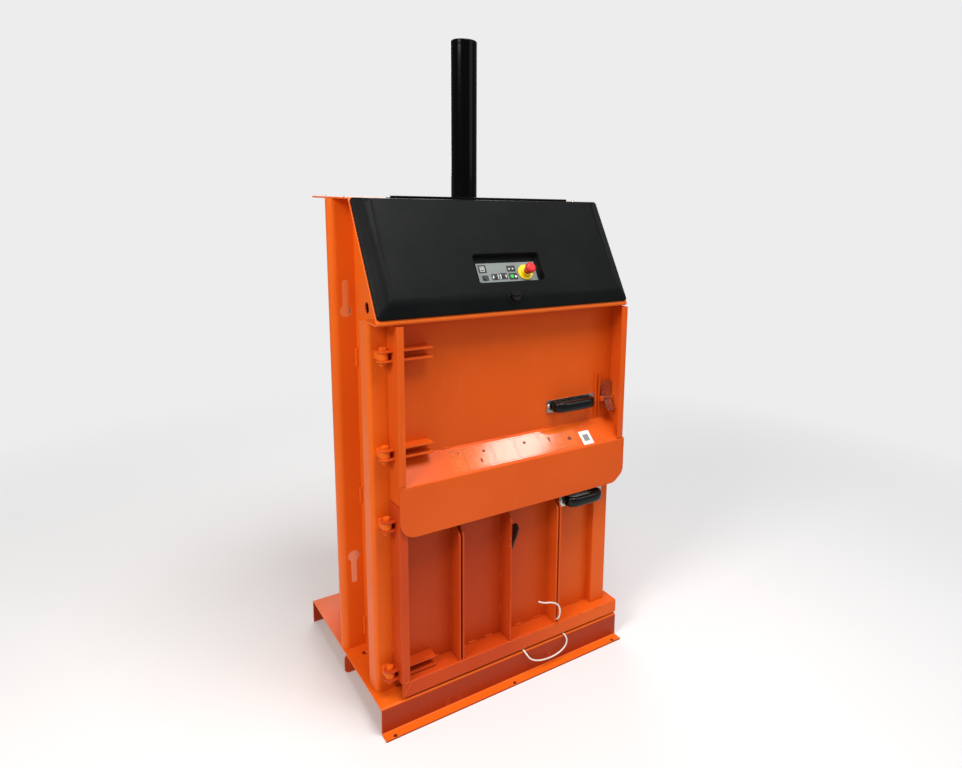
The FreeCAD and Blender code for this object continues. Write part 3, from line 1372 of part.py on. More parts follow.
# the control recess: a tray let into the face
tray = [
    ("-recess_left - cover_wall", "recess_low - cover_wall"),
    ("recess_right + cover_wall", "recess_low - cover_wall"),
    ("recess_right + cover_wall", "recess_high + cover_wall"),
    ("-recess_left - cover_wall", "recess_high + cover_wall"),
]
pad(body, "recess_tray", "XY_Plane", "recess_floor - cover_wall", tray,
    "cover_deep - recess_floor + cover_wall")
well = [
    ("-recess_left", "recess_low"), ("recess_right", "recess_low"),
    ("recess_right", "recess_high"), ("-recess_left", "recess_high"),
]
pocket(body, "recess_well", "XY_Plane", "cover_deep + 1", "cover_deep + 1 - recess_floor",
       points=well)
# lip along the upper edge, next to the hinge's knuckle
lip = [
    ("-hinge_half + 2", "cover_high - 1"), ("hinge_half - 2", "cover_high - 1"),
    ("hinge_half - 2", "slope_long - 1.25"), ("-hinge_half + 2", "slope_long - 1.25"),
]
pad(body, "cover_hinge_lip", "XY_Plane", "cover_gap + 0.6", lip, "3")
# lock boss on the lower bevel
pad(body, "lock_boss", "XY_Plane", "cover_gap + cover_skirt", None,
    "cover_deep - cover_gap - cover_skirt", circles=[("-lock_x", "lock_up", "lock_rad + 5")])
pocket(body, "lock_bore", "XY_Plane", "cover_deep + 1", "cover_deep + 1",
       circles=[("-lock_x", "lock_up", "7.1")])
BUTTONS = (
    ("button_left", "-76", "110"),
    ("button_down", "-41", "113"),
    ("button_up", "-15", "114.5"),
    ("button_green", "12.5", "112"),
)
bores = [(x, y, "key_button + slip") for _, x, y in BUTTONS]
bores.append(("stop_x", "stop_up", "stop_stem + slip"))
pocket(body, "recess_bores", "XY_Plane", "recess_floor + 1", "cover_wall + 2",
       circles=bores)
slope_node("service_cover", body)

body = new_body("control_plate")
dash = [
    ("-dash_left", "dash_low"), ("dash_right", "dash_low"),
    ("dash_right", "dash_high"), ("-dash_left", "dash_high"),
]
pad(body, "dash_sheet", "XY_Plane", "recess_floor", dash, "dash_thick")
pocket(body, "dash_bores", "XY_Plane", "recess_floor + dash_thick + 1", "dash_thick + 2",
       circles=bores)
slope_node("control_plate", body)

# emergency stop: a fixed disc and a mushroom that goes down
ring = rod("stop_disc", "z", ("stop_x", "stop_up", "recess_floor + dash_thick"),
           "stop_ring", "3")
collar = rod("stop_collar", "z", ("stop_x", "stop_up", "recess_floor + dash_thick"),
             "stop_stem + 6", "10")
bore = rod("stop_bore", "z", ("stop_x", "stop_up", "recess_floor"),
           "stop_stem + slip", "20")
slope_node("stop_base", cut("stop_base", fuse("stop_fixed", [ring, collar]), [bore]))
stem = rod("stop_shank", "z", ("stop_x", "stop_up", "recess_floor"), "stop_stem", "24")
skirt_c = cone("stop_under", "z", ("stop_x", "stop_up", "28"), "stop_stem + 3", "stop_rad",
               "10")
crown = rod("stop_crown", "z", ("stop_x", "stop_up", "38"), "stop_rad", "8")
domed = cone("stop_dome", "z", ("stop_x", "stop_up", "46"), "stop_rad", "stop_rad - 5", "4")
slope_node("stop_button", fuse("stop_button", [stem, skirt_c, crown, domed]))

for label, x, y in BUTTONS:
    pip = rod(label + "_pip", "z", (x, y, "recess_floor - cover_wall + 0.5"), "key_button",
              "cover_wall + dash_thick + 2.5")
    slope_group(label, [pip])

shank = rod("lock_shank", "z", ("-lock_x", "lock_up", "4"), "7", "cover_deep - 3")
knob = rod("lock_knob", "z", ("-lock_x", "lock_up", "cover_deep + slip"), "lock_rad", "7")
grip = box("lock_grip", "-lock_x - lock_rad + 2", "-lock_x + lock_rad - 2", "lock_up - 3",
           "lock_up + 3", "cover_deep + slip + 6", "cover_deep + slip + 12")
slope_node("cover_lock", fuse("cover_lock", [shank, knob, grip]))

# hinge of the service cover, on the hood's top
leaf = box("cover_leaf", "-hinge_half", "hinge_half", "-hood_edge + 4", "-hood_edge + 34",
           "frame_top", "frame_top + 2")
knuckle = rod("cover_knuckle", "x", ("-hinge_half", "-hood_edge - 1", "frame_top + 3.6"),
              "3.4", "2 * hinge_half")
bridge = box("cover_bridge", "-hinge_half", "hinge_half", "-hood_edge - 1", "-hood_edge + 6",
             "frame_top + 0.4", "frame_top + 2.2")
group("cover_hinge", [fuse("cover_hinge_all", [leaf, knuckle, bridge])])

# ================================================================ strap ends
# Each strap end is straight runs joined by tangent arcs, swept with a round section.
def strap(label, points):
    pts = [Vector(*p) for p in points]
    edges = []
    here = pts[0]
    length = 0.0
    radii = []
    for a, b, c in zip(pts, pts[1:], pts[2:]):
        into = (b - a).normalize()
        out = (c - b).normalize()
        turn = into.getAngle(out)
        shorter = min((b - a).Length, (c - b).Length)
        radius = 0.45 * shorter / math.tan(turn / 2)
        radii.append(round(radius, 1))
        setback = 0.45 * shorter
        start = b - into * setback
        end = b + out * setback
        middle = b + (out - into).normalize() * (radius / math.cos(turn / 2) - radius)
        edges.append(Part.makeLine(here, start))
        arc = Part.Arc(start, middle, end).toShape()
        edges.append(arc)
        length += (start - here).Length + arc.Length
        here = end
    edges.append(Part.makeLine(here, pts[-1]))
    length += (pts[-1] - here).Length
    path = Part.Wire(edges)
    circle = Part.Wire([Part.makeCircle(size("strap_wide") / 2, pts[0],
                                        (pts[1] - pts[0]).normalize())])
    solid = path.makePipeShell([circle], True, False)
    want = math.pi * (size("strap_wide") / 2) ** 2 * length
    print(label, "length %.1f mm, radii %s, volume ratio %.4f"
          % (length, radii, solid.Volume / want))
    obj = doc.addObject("Part::Feature", label)
    obj.Shape = solid
    obj.Placement = Placement(Vector(0, size("mid_y"), 0), Rotation())
    obj.Label = label
    NODES.append(obj)


# loose end of a strap, out of the right slot of the lower door
strap("strap_tail", [
    (size("slot_right"), -290, 142),
    (size("slot_right"), -312, 146),
    (178.5, -326, 162),
    (181, -329, 184),
    (176, -329.5, 206),
    (160, -329.5, 222),
    (137, -330, 232),
    (113, -331, 238),
    (93, -331, 250),
])
# loop of strap between the lower door and the base
strap("strap_loop", [
    (46, -300, 88.2),
    (47, -316, 87.5),
    (52, -328, 76),
    (63, -330, 58),
    (83, -330.5, 43),
    (110, -331, 34),
    (141, -331, 30.5),
    (171, -331, 33),
    (197, -330.5, 42),
    (211, -330, 59),
    (211, -328, 77),
    (206, -316, 87.5),
    (204, -300, 88.2),
])

# ================================================================ finish
doc.recompute()
bad = []
for obj in doc.Objects:
    if "Invalid" in obj.State or "Error" in obj.State:
        bad.append(obj.Name)
for obj in NODES:
    shape = obj.Shape
    if shape.isNull() or not shape.isValid():
        bad.append(obj.Label)
if bad:
    raise RuntimeError("these failed: %s" % bad)
os.makedirs("parts", exist_ok=True)
for obj in NODES:
    obj.Shape.exportStep("parts/%s.step" % obj.Label)
print(len(NODES), "sub-parts")
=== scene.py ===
import json
import math
import random

import bmesh
import bpy
from mathutils import Matrix, Vector


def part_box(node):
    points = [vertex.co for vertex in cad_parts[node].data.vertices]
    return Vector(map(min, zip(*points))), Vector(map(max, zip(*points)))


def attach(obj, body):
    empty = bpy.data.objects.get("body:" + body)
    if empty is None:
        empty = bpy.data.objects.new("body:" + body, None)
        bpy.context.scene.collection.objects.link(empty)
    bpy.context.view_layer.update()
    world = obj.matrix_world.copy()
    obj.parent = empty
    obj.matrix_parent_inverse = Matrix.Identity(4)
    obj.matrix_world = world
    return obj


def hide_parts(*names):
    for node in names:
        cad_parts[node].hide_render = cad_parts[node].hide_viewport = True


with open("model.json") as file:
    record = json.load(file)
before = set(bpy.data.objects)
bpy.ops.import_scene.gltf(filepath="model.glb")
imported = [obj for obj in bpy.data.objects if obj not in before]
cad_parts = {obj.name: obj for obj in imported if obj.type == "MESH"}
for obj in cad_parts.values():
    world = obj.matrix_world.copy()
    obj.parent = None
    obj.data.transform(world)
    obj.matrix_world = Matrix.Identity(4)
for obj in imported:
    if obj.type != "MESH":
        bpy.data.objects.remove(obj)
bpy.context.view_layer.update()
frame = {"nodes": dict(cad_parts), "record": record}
scene = bpy.context.scene
NODES = frame["nodes"]
MM = 0.001


# ------------------------------------------------------------------ camera
def add_camera():
    """The photograph's viewpoint, fitted to the machine's edges."""
    yaw, dip, roll = math.radians(35.58), math.radians(10.62), math.radians(1.39)
    look = Vector((math.sin(yaw) * math.cos(dip), math.cos(yaw) * math.cos(dip), -math.sin(dip)))
    right = Vector((math.cos(yaw), -math.sin(yaw), 0.0))
    up = right.cross(look)
    right_r = right * math.cos(roll) + up * math.sin(roll)
    up_r = up * math.cos(roll) - right * math.sin(roll)
    cam = bpy.data.objects.new("camera", bpy.data.cameras.new("camera"))
    turn = Matrix((right_r, up_r, -look)).transposed().to_4x4()
    cam.matrix_world = Matrix.Translation((-1.05935, -2.00958, 1.52353)) @ turn
    cam.data.sensor_width = 36.0
    cam.data.lens = 26.14
    cam.data.shift_x = -0.0806
    cam.data.shift_y = -0.0573
    cam.data.clip_start = 0.05
    scene.collection.objects.link(cam)
    scene.camera = cam


add_camera()


# ------------------------------------------------------------------ node helpers
class Shade:
    """A small builder round one Principled material."""

    def __init__(self, name, colour, rough=0.5, metal=0.0, coat=0.0, coat_rough=0.1, spec=0.5):
        self.mat = bpy.data.materials.new(name)
        self.mat.use_nodes = True
        self.tree = self.mat.node_tree
        self.bsdf = self.tree.nodes["Principled BSDF"]
        self.bsdf.inputs["Base Color"].default_value = (*colour, 1.0)
        self.bsdf.inputs["Roughness"].default_value = rough
        self.bsdf.inputs["Metallic"].default_value = metal
        self.bsdf.inputs["Coat Weight"].default_value = coat
        self.bsdf.inputs["Coat Roughness"].default_value = coat_rough
        self.bsdf.inputs["Specular IOR Level"].default_value = spec
        self.where = self.tree.nodes.new("ShaderNodeTexCoord").outputs["Object"]
        self.height = None

    def node(self, kind, **values):
        made = self.tree.nodes.new(kind)
        for key, value in values.items():
            setattr(made, key, value)
        return made

    def link(self, a, b):
        self.tree.links.new(a, b)

    def scaled(self, sx, sy, sz):
        mapping = self.node("ShaderNodeMapping")
        mapping.inputs["Scale"].default_value = (sx, sy, sz)
        self.link(self.where, mapping.inputs["Vector"])
        return mapping.outputs["Vector"]

    def noise(self, scale, detail=2.0, rough=0.5, where=None):
        made = self.node("ShaderNodeTexNoise")
        made.inputs["Scale"].default_value = scale
        made.inputs["Detail"].default_value = detail
        made.inputs["Roughness"].default_value = rough
        self.link(where or self.where, made.inputs["Vector"])
        return made.outputs["Fac"]

    def voronoi(self, scale):
        made = self.node("ShaderNodeTexVoronoi")
        made.inputs["Scale"].default_value = scale
        self.link(self.where, made.inputs["Vector"])
        return made.outputs["Distance"]

    def ramp(self, fac, low, high, a=0.0, b=1.0):
        """fac from low..high brought to a..b."""
        made = self.node("ShaderNodeMapRange")
        made.inputs["From Min"].default_value = low
        made.inputs["From Max"].default_value = high
        made.inputs["To Min"].default_value = a
        made.inputs["To Max"].default_value = b
        self.link(fac, made.inputs["Value"])
        return made.outputs["Result"]

    def math(self, kind, a, b):
        made = self.node("ShaderNodeMath", operation=kind)
        for n, value in enumerate((a, b)):
            if isinstance(value, (int, float)):
                made.inputs[n].default_value = value
            else:
                self.link(value, made.inputs[n])
        return made.outputs[0]

    def mix(self, fac, a, b):
        made = self.node("ShaderNodeMix", data_type="RGBA")
        self.link(fac, made.inputs["Factor"])
        for socket, value in ((made.inputs["A"], a), (made.inputs["B"], b)):
            if isinstance(value, tuple):
                socket.default_value = (*value, 1.0)
            else:
                self.link(value, socket)
        return made.outputs["Result"]

    def colour(self, out):
        self.link(out, self.bsdf.inputs["Base Color"])

    def rough(self, out):
        self.link(out, self.bsdf.inputs["Roughness"])

    def bump(self, height, strength, depth):
        """Stacked bumps: depth is the true height in metres."""
        made = self.node("ShaderNodeBump")
        made.inputs["Strength"].default_value = strength
        made.inputs["Distance"].default_value = depth
        self.link(height, made.inputs["Height"])
        if self.height is not None:
            self.link(self.height, made.inputs["Normal"])
        self.height = made.outputs["Normal"]
        self.link(self.height, self.bsdf.inputs["Normal"])


def across(s):
    """0 at the left of the machine, 1 at its right; it masks painted light on the right of the
    lower door.
    """
    apart = s.node("ShaderNodeSeparateXYZ")
    s.link(s.where, apart.inputs[0])
    return s.ramp(apart.outputs["X"], 0.0, 0.30)


def front_shade_mask(s):
    """1 on upright faces that look to the front, 0 on the rest; it masks painted shade on those
    faces.
    """
    normal = s.node("ShaderNodeTexCoord").outputs["Normal"]
    apart = s.node("ShaderNodeSeparateXYZ")
    s.link(normal, apart.inputs[0])
    return s.ramp(apart.outputs["Y"], -0.75, -0.95)


def powder_coat(name, colour, deep, pale, rough=0.36, wear=0.0, place=None, other=None):
    """Powder coat: orange peel, faint clouding, a few scuffs and pinholes; a mask, where given,
    mixes in a tone of painted light and shade.
    """
    s = Shade(name, colour, rough=rough, spec=0.16)
    cloud = s.ramp(s.noise(3.1, 3.0), 0.3, 0.7)
    tone = s.mix(cloud, deep, colour)
    # painted light and shade: the tone given with the mask replaces the coat's own where the mask
    # is 1
    if place:
        tone = s.mix(place(s), tone, other)
    rub = s.noise(21.0, 6.0, 0.72, s.scaled(1.0, 1.0, 0.35))
    tone = s.mix(s.ramp(rub, 0.60, 0.80, 0.0, 0.45), tone, pale)
    grit = s.voronoi(95.0)
    dirt = s.ramp(grit, 0.0, 0.045, 0.55 + wear, 0.0)
    gate = s.ramp(s.noise(7.0, 2.0), 0.52, 0.62)
    tone = s.mix(s.math("MULTIPLY", dirt, gate), tone, (0.16, 0.035, 0.012))
    s.colour(tone)
    base = s.ramp(s.noise(5.5, 4.0, 0.6), 0.25, 0.75, rough - 0.06, rough + 0.08)
    s.rough(s.math("ADD", base, s.ramp(rub, 0.55, 0.85, 0.0, 0.16)))
    s.bump(s.noise(420.0, 2.0, 0.45), 0.30, 0.00022)
    s.bump(s.noise(2.3, 1.0, 0.3), 0.22, 0.004)
    return s.mat


def plain(name, colour, rough, metal=0.0, fine=300.0, depth=0.0001, swing=0.06, **more):
    """A moulded or painted surface with its own fine texture."""
    s = Shade(name, colour, rough=rough, metal=metal, **more)
    cloud = s.ramp(s.noise(11.0, 3.0), 0.3, 0.7)
    dark = tuple(c * 0.82 for c in colour)
    s.colour(s.mix(cloud, dark, colour))
    s.rough(s.ramp(s.noise(23.0, 4.0, 0.6), 0.25, 0.75, rough - swing, rough + swing))
    s.bump(s.noise(fine, 2.0, 0.5), 0.35, depth)
    return s.mat


def grained_plastic(name):
    """Moulded charcoal cover: leathery grain and soft rubbed patches."""
    s = Shade(name, (0.006, 0.0065, 0.007), rough=0.42, spec=0.05)
    cloud = s.ramp(s.noise(4.2, 4.0, 0.6), 0.3, 0.72)
    tone = s.mix(cloud, (0.0040, 0.0046, 0.0050), (0.0078, 0.0082, 0.0084))
    dust = s.ramp(s.noise(38.0, 6.0, 0.75), 0.62, 0.82, 0.0, 0.35)
    s.colour(s.mix(dust, tone, (0.022, 0.022, 0.021)))
    s.rough(s.ramp(s.noise(6.0, 4.0, 0.6), 0.25, 0.75, 0.34, 0.48))
    s.bump(s.voronoi(900.0), 0.35, 0.00012)
    s.bump(s.noise(1500.0, 2.0), 0.25, 0.00006)
    return s.mat


def brushed(name, colour, rough, axis):
    """Rolled or brushed steel: fine streaks along one axis, faint stains."""
    s = Shade(name, colour, rough=rough, metal=1.0)
    thin = {"x": (6.0, 900.0, 900.0), "y": (900.0, 6.0, 900.0), "z": (900.0, 900.0, 6.0)}[axis]
    streak = s.noise(1.0, 3.0, 0.6, s.scaled(*thin))
    stain = s.ramp(s.noise(34.0, 5.0, 0.65), 0.35, 0.75)
    dark = tuple(c * 0.72 for c in colour)
    s.colour(s.mix(stain, colour, dark))
    s.rough(s.math("ADD", s.ramp(streak, 0.3, 0.7, rough - 0.07, rough + 0.1),
                   s.ramp(stain, 0.0, 1.0, 0.0, 0.08)))
    s.bump(streak, 0.25, 0.00004)
    return s.mat


def shaded_low_coat(name):
    """The lower door's coat: the same orange made darker as painted shade, lighter towards the
    right as painted light, with a little more dirt in its pinholes.
    """
    return powder_coat(name, LOW_SHADED, (0.50, 0.050, 0.006), (0.66, 0.10, 0.02), rough=0.38, wear=0.2,
                       place=across, other=(0.72, 0.105, 0.008))


ORANGE = (0.84, 0.142, 0.009)
# the lower door's orange, darker than ORANGE as painted shade
LOW_SHADED = (0.58, 0.063, 0.007)
MATS = {
    "orange": powder_coat("powder_orange", ORANGE, (0.76, 0.118, 0.008), (0.86, 0.20, 0.030)),
    # the doors' coat: the frame's orange made darker as painted shade on their front faces
    "orange_door": powder_coat("powder_orange_door_shaded", (0.70, 0.098, 0.008), (0.64, 0.084, 0.007),
                               (0.80, 0.165, 0.028), rough=0.32),
    "orange_low": shaded_low_coat("powder_orange_low_shaded"),
    # the base's coat: its upright front faces darkened as painted shade
    "orange_base": powder_coat("powder_orange_base_shaded", ORANGE, (0.76, 0.118, 0.008),
                               (0.86, 0.20, 0.030), place=front_shade_mask,
                               other=(0.36, 0.034, 0.006)),
    "film": plain("glossy_film", (0.80, 0.135, 0.010), 0.14, fine=220.0, depth=0.00012,
                  swing=0.03, coat=0.5, coat_rough=0.09),
    "black_paint": plain("gloss_black", (0.0012, 0.0012, 0.0015), 0.18, coat=0.06,
                         coat_rough=0.06, fine=160.0, depth=0.00012, swing=0.03, spec=0.05),
    "charcoal": grained_plastic("grained_charcoal"),
    "black_grip": plain("glossy_grip", (0.004, 0.004, 0.004), 0.22, fine=700.0, depth=0.00005,
                        coat=0.12, coat_rough=0.10, spec=0.2),
    "steel": brushed("zinc_steel", (0.58, 0.55, 0.51), 0.24, "x"),
    "bright_steel": brushed("polished_rod", (0.78, 0.78, 0.79), 0.12, "z"),
    "plate": plain("silver_film", (0.20, 0.225, 0.213), 0.46, metal=0.1, spec=0.2, fine=1400.0,
                   depth=0.00003),
    "yellow": plain("yellow_disc", (0.90, 0.66, 0.010), 0.33, fine=600.0, depth=0.00004),
    "red": plain("red_mushroom", (0.62, 0.022, 0.026), 0.34, spec=0.3, fine=500.0, depth=0.00004),
    "green": plain("green_button", (0.035, 0.56, 0.10), 0.3, fine=900.0, depth=0.00003),
    "black_button": plain("black_button", (0.010, 0.010, 0.010), 0.38, fine=900.0,
                          depth=0.00003),
    "grey_paint": plain("grey_paint", (0.13, 0.14, 0.15), 0.42, fine=350.0, depth=0.0002),
    "cast": plain("machined_aluminium", (0.52, 0.52, 0.53), 0.34, metal=0.9, fine=500.0,
                  depth=0.0001),
    "strap": plain("strap_white", (0.82, 0.785, 0.72), 0.55, fine=500.0, depth=0.0003),
    "nylon": plain("nylon", (0.72, 0.72, 0.66), 0.48, fine=500.0, depth=0.0001),
    "mark": plain("black_mark", (0.008, 0.008, 0.009), 0.45, fine=900.0, depth=0.00002),
    "label": plain("blank_label", (0.84, 0.84, 0.83), 0.45, fine=900.0, depth=0.00002),
    "grey_mark": plain("grey_mark", (0.24, 0.245, 0.25), 0.5, fine=900.0, depth=0.00002),
    "outline": plain("dark_outline", (0.20, 0.022, 0.008), 0.5, fine=900.0, depth=0.00002),
    "white_mark": plain("white_mark", (0.78, 0.79, 0.78), 0.5, fine=900.0, depth=0.00002),
}


def dress(obj, key):
    """The one material of a piece."""
    obj.data.materials.clear()
    obj.data.materials.append(MATS[key])


# the lower door's pieces, which take the coat darkened as painted shade
LOWER = ("lower_panel_left", "lower_panel_middle", "lower_panel_right", "lower_rib",
         "lower_channel", "lower_top_rail", "bottom_beam", "lower_hinge_ears")
SLOTS = {part["node"]: part["material_slot"] for part in frame["record"]["subparts"]}
for name, obj in NODES.items():
    dress(obj, "orange_low" if name in LOWER else SLOTS[name])
# the base plate takes the coat with painted shade on its front faces
dress(NODES["base_plate"], "orange_base")
BODY = {name: body for body, names in frame["record"]["behaviour"]["bodies"].items()
        for name in names}


# ------------------------------------------------------------------ floor and lights
FLOOR_NEAR, FLOOR_FAR = 1.1, 3.4     # radii between which the floor fades, m


def add_stage():
    """A round pale floor that fades into the air, so that no horizon shows."""
    mesh = bpy.data.meshes.new("floor")
    floor = bpy.data.objects.new("floor", mesh)
    bm = bmesh.new()
    bmesh.ops.create_circle(bm, cap_ends=True, segments=96, radius=FLOOR_FAR)
    bm.to_mesh(mesh)
    bm.free()
    scene.collection.objects.link(floor)
    s = Shade("floor_pale", (0.80, 0.80, 0.805), rough=0.8, spec=0.1)
    cloud = s.ramp(s.noise(0.8, 3.0), 0.3, 0.7)
    s.colour(s.mix(cloud, (0.79, 0.79, 0.795), (0.81, 0.81, 0.815)))
    away = s.node("ShaderNodeVectorMath", operation="LENGTH")
    s.link(s.where, away.inputs[0])
    s.link(s.ramp(away.outputs["Value"], FLOOR_NEAR, FLOOR_FAR, 1.0, 0.0),
           s.bsdf.inputs["Alpha"])
    floor.data.materials.append(s.mat)


def add_light(name, spot, aim, power, size, tint):
    data = bpy.data.lights.new(name, "AREA")
    data.energy = power
    data.size = size
    data.color = tint
    light = bpy.data.objects.new(name, data)
    light.location = spot
    light.rotation_euler = (Vector(aim) - Vector(spot)).to_track_quat("-Z", "Y").to_euler()
    scene.collection.objects.link(light)


def add_world():
    """Soft studio air: pale where it is seen, gentler where it lights."""
    world = bpy.data.worlds.new("studio")
    scene.world = world
    world.use_nodes = True
    tree = world.node_tree
    seen = tree.nodes["Background"]
    seen.inputs["Color"].default_value = (0.845, 0.845, 0.85, 1.0)
    seen.inputs["Strength"].default_value = 1.0
    lit = tree.nodes.new("ShaderNodeBackground")
    lit.inputs["Color"].default_value = (1.0, 1.0, 1.0, 1.0)
    lit.inputs["Strength"].default_value = 0.30
    path = tree.nodes.new("ShaderNodeLightPath")
    pick = tree.nodes.new("ShaderNodeMixShader")
    tree.links.new(path.outputs["Is Camera Ray"], pick.inputs["Fac"])
    tree.links.new(lit.outputs[0], pick.inputs[1])
    tree.links.new(seen.outputs[0], pick.inputs[2])
    tree.links.new(pick.outputs[0], tree.nodes["World Output"].inputs["Surface"])


add_stage()
add_world()
scene.view_settings.view_transform = "Standard"
# name, place, aim, watts, size, tint
WARM, WHITE = (1.0, 0.96, 0.90), (1.0, 1.0, 1.0)
LIGHTS = (
    ("key", (-3.4, -1.4, 3.4), (0.0, 0.0, 0.9), 118.0, 1.6, WARM),
    ("top", (0.1, -1.5, 3.9), (0.0, 0.0, 1.0), 92.0, 1.6, WHITE),
    ("fill", (2.4, -3.0, 2.6), (0.0, 0.0, 1.0), 26.0, 2.0, WHITE),
    ("glare", (1.63, -1.12, 3.41), (0.03, -0.285, 0.77), 6.0, 0.42, WHITE),
    ("back", (1.2, 3.8, 2.8), (0.0, 0.0, 1.0), 60.0, 2.4, WHITE),
)
for values in LIGHTS:
    add_light(*values)


# ------------------------------------------------------------------ straps
def strap(name, points, node, body):
    """One strap end, in place of its CAD cord."""
    data = bpy.data.curves.new(name, "CURVE")
    data.dimensions = "3D"
    data.bevel_depth = 2.5 * MM
    data.bevel_resolution = 4
    data.resolution_u = 10
    data.use_fill_caps = True
    spline = data.splines.new("NURBS")
    spline.points.add(len(points) - 1)
    for at, (x, y, z) in zip(spline.points, points):
        at.co = (x, y, z, 1.0)
    spline.order_u = 3
    spline.use_endpoint_u = True
    made = bpy.data.objects.new(name, data)
    scene.collection.objects.link(made)
    data.materials.append(MATS["strap"])
    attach(made, body)
    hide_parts(node)
    return made


# the same points as the CAD's cords
TAIL = [
    (0.1776, -0.2855, 0.1420), (0.1776, -0.3075, 0.1460), (0.1785, -0.3215, 0.1620),
    (0.1810, -0.3245, 0.1840), (0.1760, -0.3250, 0.2060), (0.1600, -0.3250, 0.2220),
    (0.1370, -0.3255, 0.2320), (0.1130, -0.3265, 0.2380), (0.0930, -0.3265, 0.2500),
]
LOOP = [
    (0.0460, -0.2955, 0.0882), (0.0470, -0.3115, 0.0875), (0.0520, -0.3235, 0.0760),
    (0.0630, -0.3255, 0.0580), (0.0830, -0.3260, 0.0430), (0.1100, -0.3265, 0.0340),
    (0.1410, -0.3265, 0.0305), (0.1710, -0.3265, 0.0330), (0.1970, -0.3260, 0.0420),
    (0.2110, -0.3255, 0.0590), (0.2110, -0.3235, 0.0770), (0.2060, -0.3115, 0.0875),
    (0.2040, -0.2955, 0.0882),
]
tail = strap("strap_end_upper", TAIL, "strap_tail", "lower_door")
loop = strap("strap_end_lower", LOOP, "strap_loop", "frame")


# ------------------------------------------------------------------ sheet metal with broken edges
def mesh_object(name, bm, key, body):
    """A finished bmesh as a piece that rides on a body."""
    mesh = bpy.data.meshes.new(name)
    bm.normal_update()
    bm.to_mesh(mesh)
    bm.free()
    made = bpy.data.objects.new(name, mesh)
    scene.collection.objects.link(made)
    mesh.materials.append(MATS[key])
    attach(made, body)
    return made


BEND_LIMIT = 32.0        # edges sharper than this are broken, degrees
WELD_DIST = 2e-5         # vertices nearer than this are one, m
FLAT_LIMIT = 0.6         # faces flatter than this are one, degrees


def soften(node, width, segments):
    """A CAD sheet again, with its edges broken as coating leaves them."""
    bm = bmesh.new()
    bm.from_mesh(NODES[node].data)
    for kind in (bm.loops.layers.float_vector, bm.loops.layers.uv, bm.verts.layers.float_vector):
        for layer in list(kind.values()):
            kind.remove(layer)
    bmesh.ops.remove_doubles(bm, verts=bm.verts, dist=WELD_DIST)
    bmesh.ops.dissolve_limit(bm, angle_limit=math.radians(FLAT_LIMIT), verts=bm.verts,
                             edges=bm.edges, use_dissolve_boundaries=False)
    for face in bm.faces:
        face.smooth = True
    mesh = bpy.data.meshes.new("soft_" + node)
    bm.to_mesh(mesh)
    bm.free()
    for attribute in [a for a in mesh.attributes if a.name == "custom_normal"]:
        mesh.attributes.remove(attribute)
    made = bpy.data.objects.new("soft_" + node, mesh)
    scene.collection.objects.link(made)
    mesh.materials.append(NODES[node].data.materials[0])
    edge = made.modifiers.new("edge", "BEVEL")
    edge.width = width * MM
    edge.segments = segments
    edge.limit_method = "ANGLE"
    edge.angle_limit = math.radians(BEND_LIMIT)
    edge.use_clamp_overlap = True
    edge.harden_normals = False
    edge.miter_outer = "MITER_ARC"
    level = made.modifiers.new("level", "WEIGHTED_NORMAL")
    level.keep_sharp = False
    level.weight = 80
    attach(made, BODY[node])
    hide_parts(node)


# the sheets and how wide their broken edges are, mm
SHEETS = {
    "base_plate": 1.4, "bottom_beam": 1.2, "column_left": 1.2, "column_right": 1.2,
    "side_wall_left": 1.0, "side_wall_right": 1.0, "rear_wall": 1.2,
    "front_post_left": 1.0, "front_post_right": 1.0, "hinge_lugs": 1.0, "hinge_pins": 0.7,
    "hood_plate": 1.2, "hood_gussets": 1.0, "cylinder_cap": 1.0, "cylinder_flange": 1.0,
    "upper_door_shell": 0.9, "shelf_apron": 1.2, "upper_hinge_ears": 0.9,
    "lower_hinge_ears": 0.9, "upper_latch_mount": 0.8, "lower_latch_mount": 0.8,
    "lower_panel_left": 0.9, "lower_panel_middle": 0.9, "lower_panel_right": 0.9,
    "lower_rib": 0.9, "lower_channel": 1.0, "lower_top_rail": 0.9,
    "upper_handle_plate": 0.7, "lower_handle_plate": 0.7, "upper_latch_lever": 0.8,
    "lower_latch_lever": 0.8, "strap_cleat": 0.8, "control_plate": 0.4, "stop_base": 0.8,
    "stop_button": 1.6,
}
for node, width in SHEETS.items():
    soften(node, width, 3 if node == "stop_button" else 2)

# ------------------------------------------------------------------ the slope's own axes
LEAN = math.atan2(189.0, 318.5)


def slope_point(x, s, h):
    """x across, s up the slope and h off it, in mm, as a point in the frame."""
    return Vector((
        x * MM,
        (-320.5 + s * math.sin(LEAN) - h * math.cos(LEAN)) * MM,
        (1193.5 + s * math.cos(LEAN) + h * math.sin(LEAN)) * MM,
    ))


SHELF_RUN, SHELF_RISE = 71.0, 64.0
SHELF_LONG = math.hypot(SHELF_RUN, SHELF_RISE)


def shelf_point(x, t, h):
    """x across, t up the sloping shelf from its front edge, h off it."""
    cy, cz = SHELF_RUN / SHELF_LONG, SHELF_RISE / SHELF_LONG
    return Vector((x * MM, (-321.5 + t * cy - h * cz) * MM, (736.0 + t * cz + h * cy) * MM))


# ------------------------------------------------------------------ service cover
COVER_WALL = 2.6
COVER = {"half": 417.0, "low": 10.0, "high": 366.95, "skirt": 6.6, "deep": 27.0,
         "side": 34.0, "bottom": 38.0, "top": 14.0}
WELL = {"left": -108.0, "right": 112.0, "low": 92.0, "high": 176.0, "floor": 6.0}
BACK = {"half": 91.0, "low": 104.5, "high": 153.5}     # opening hidden by the control plate


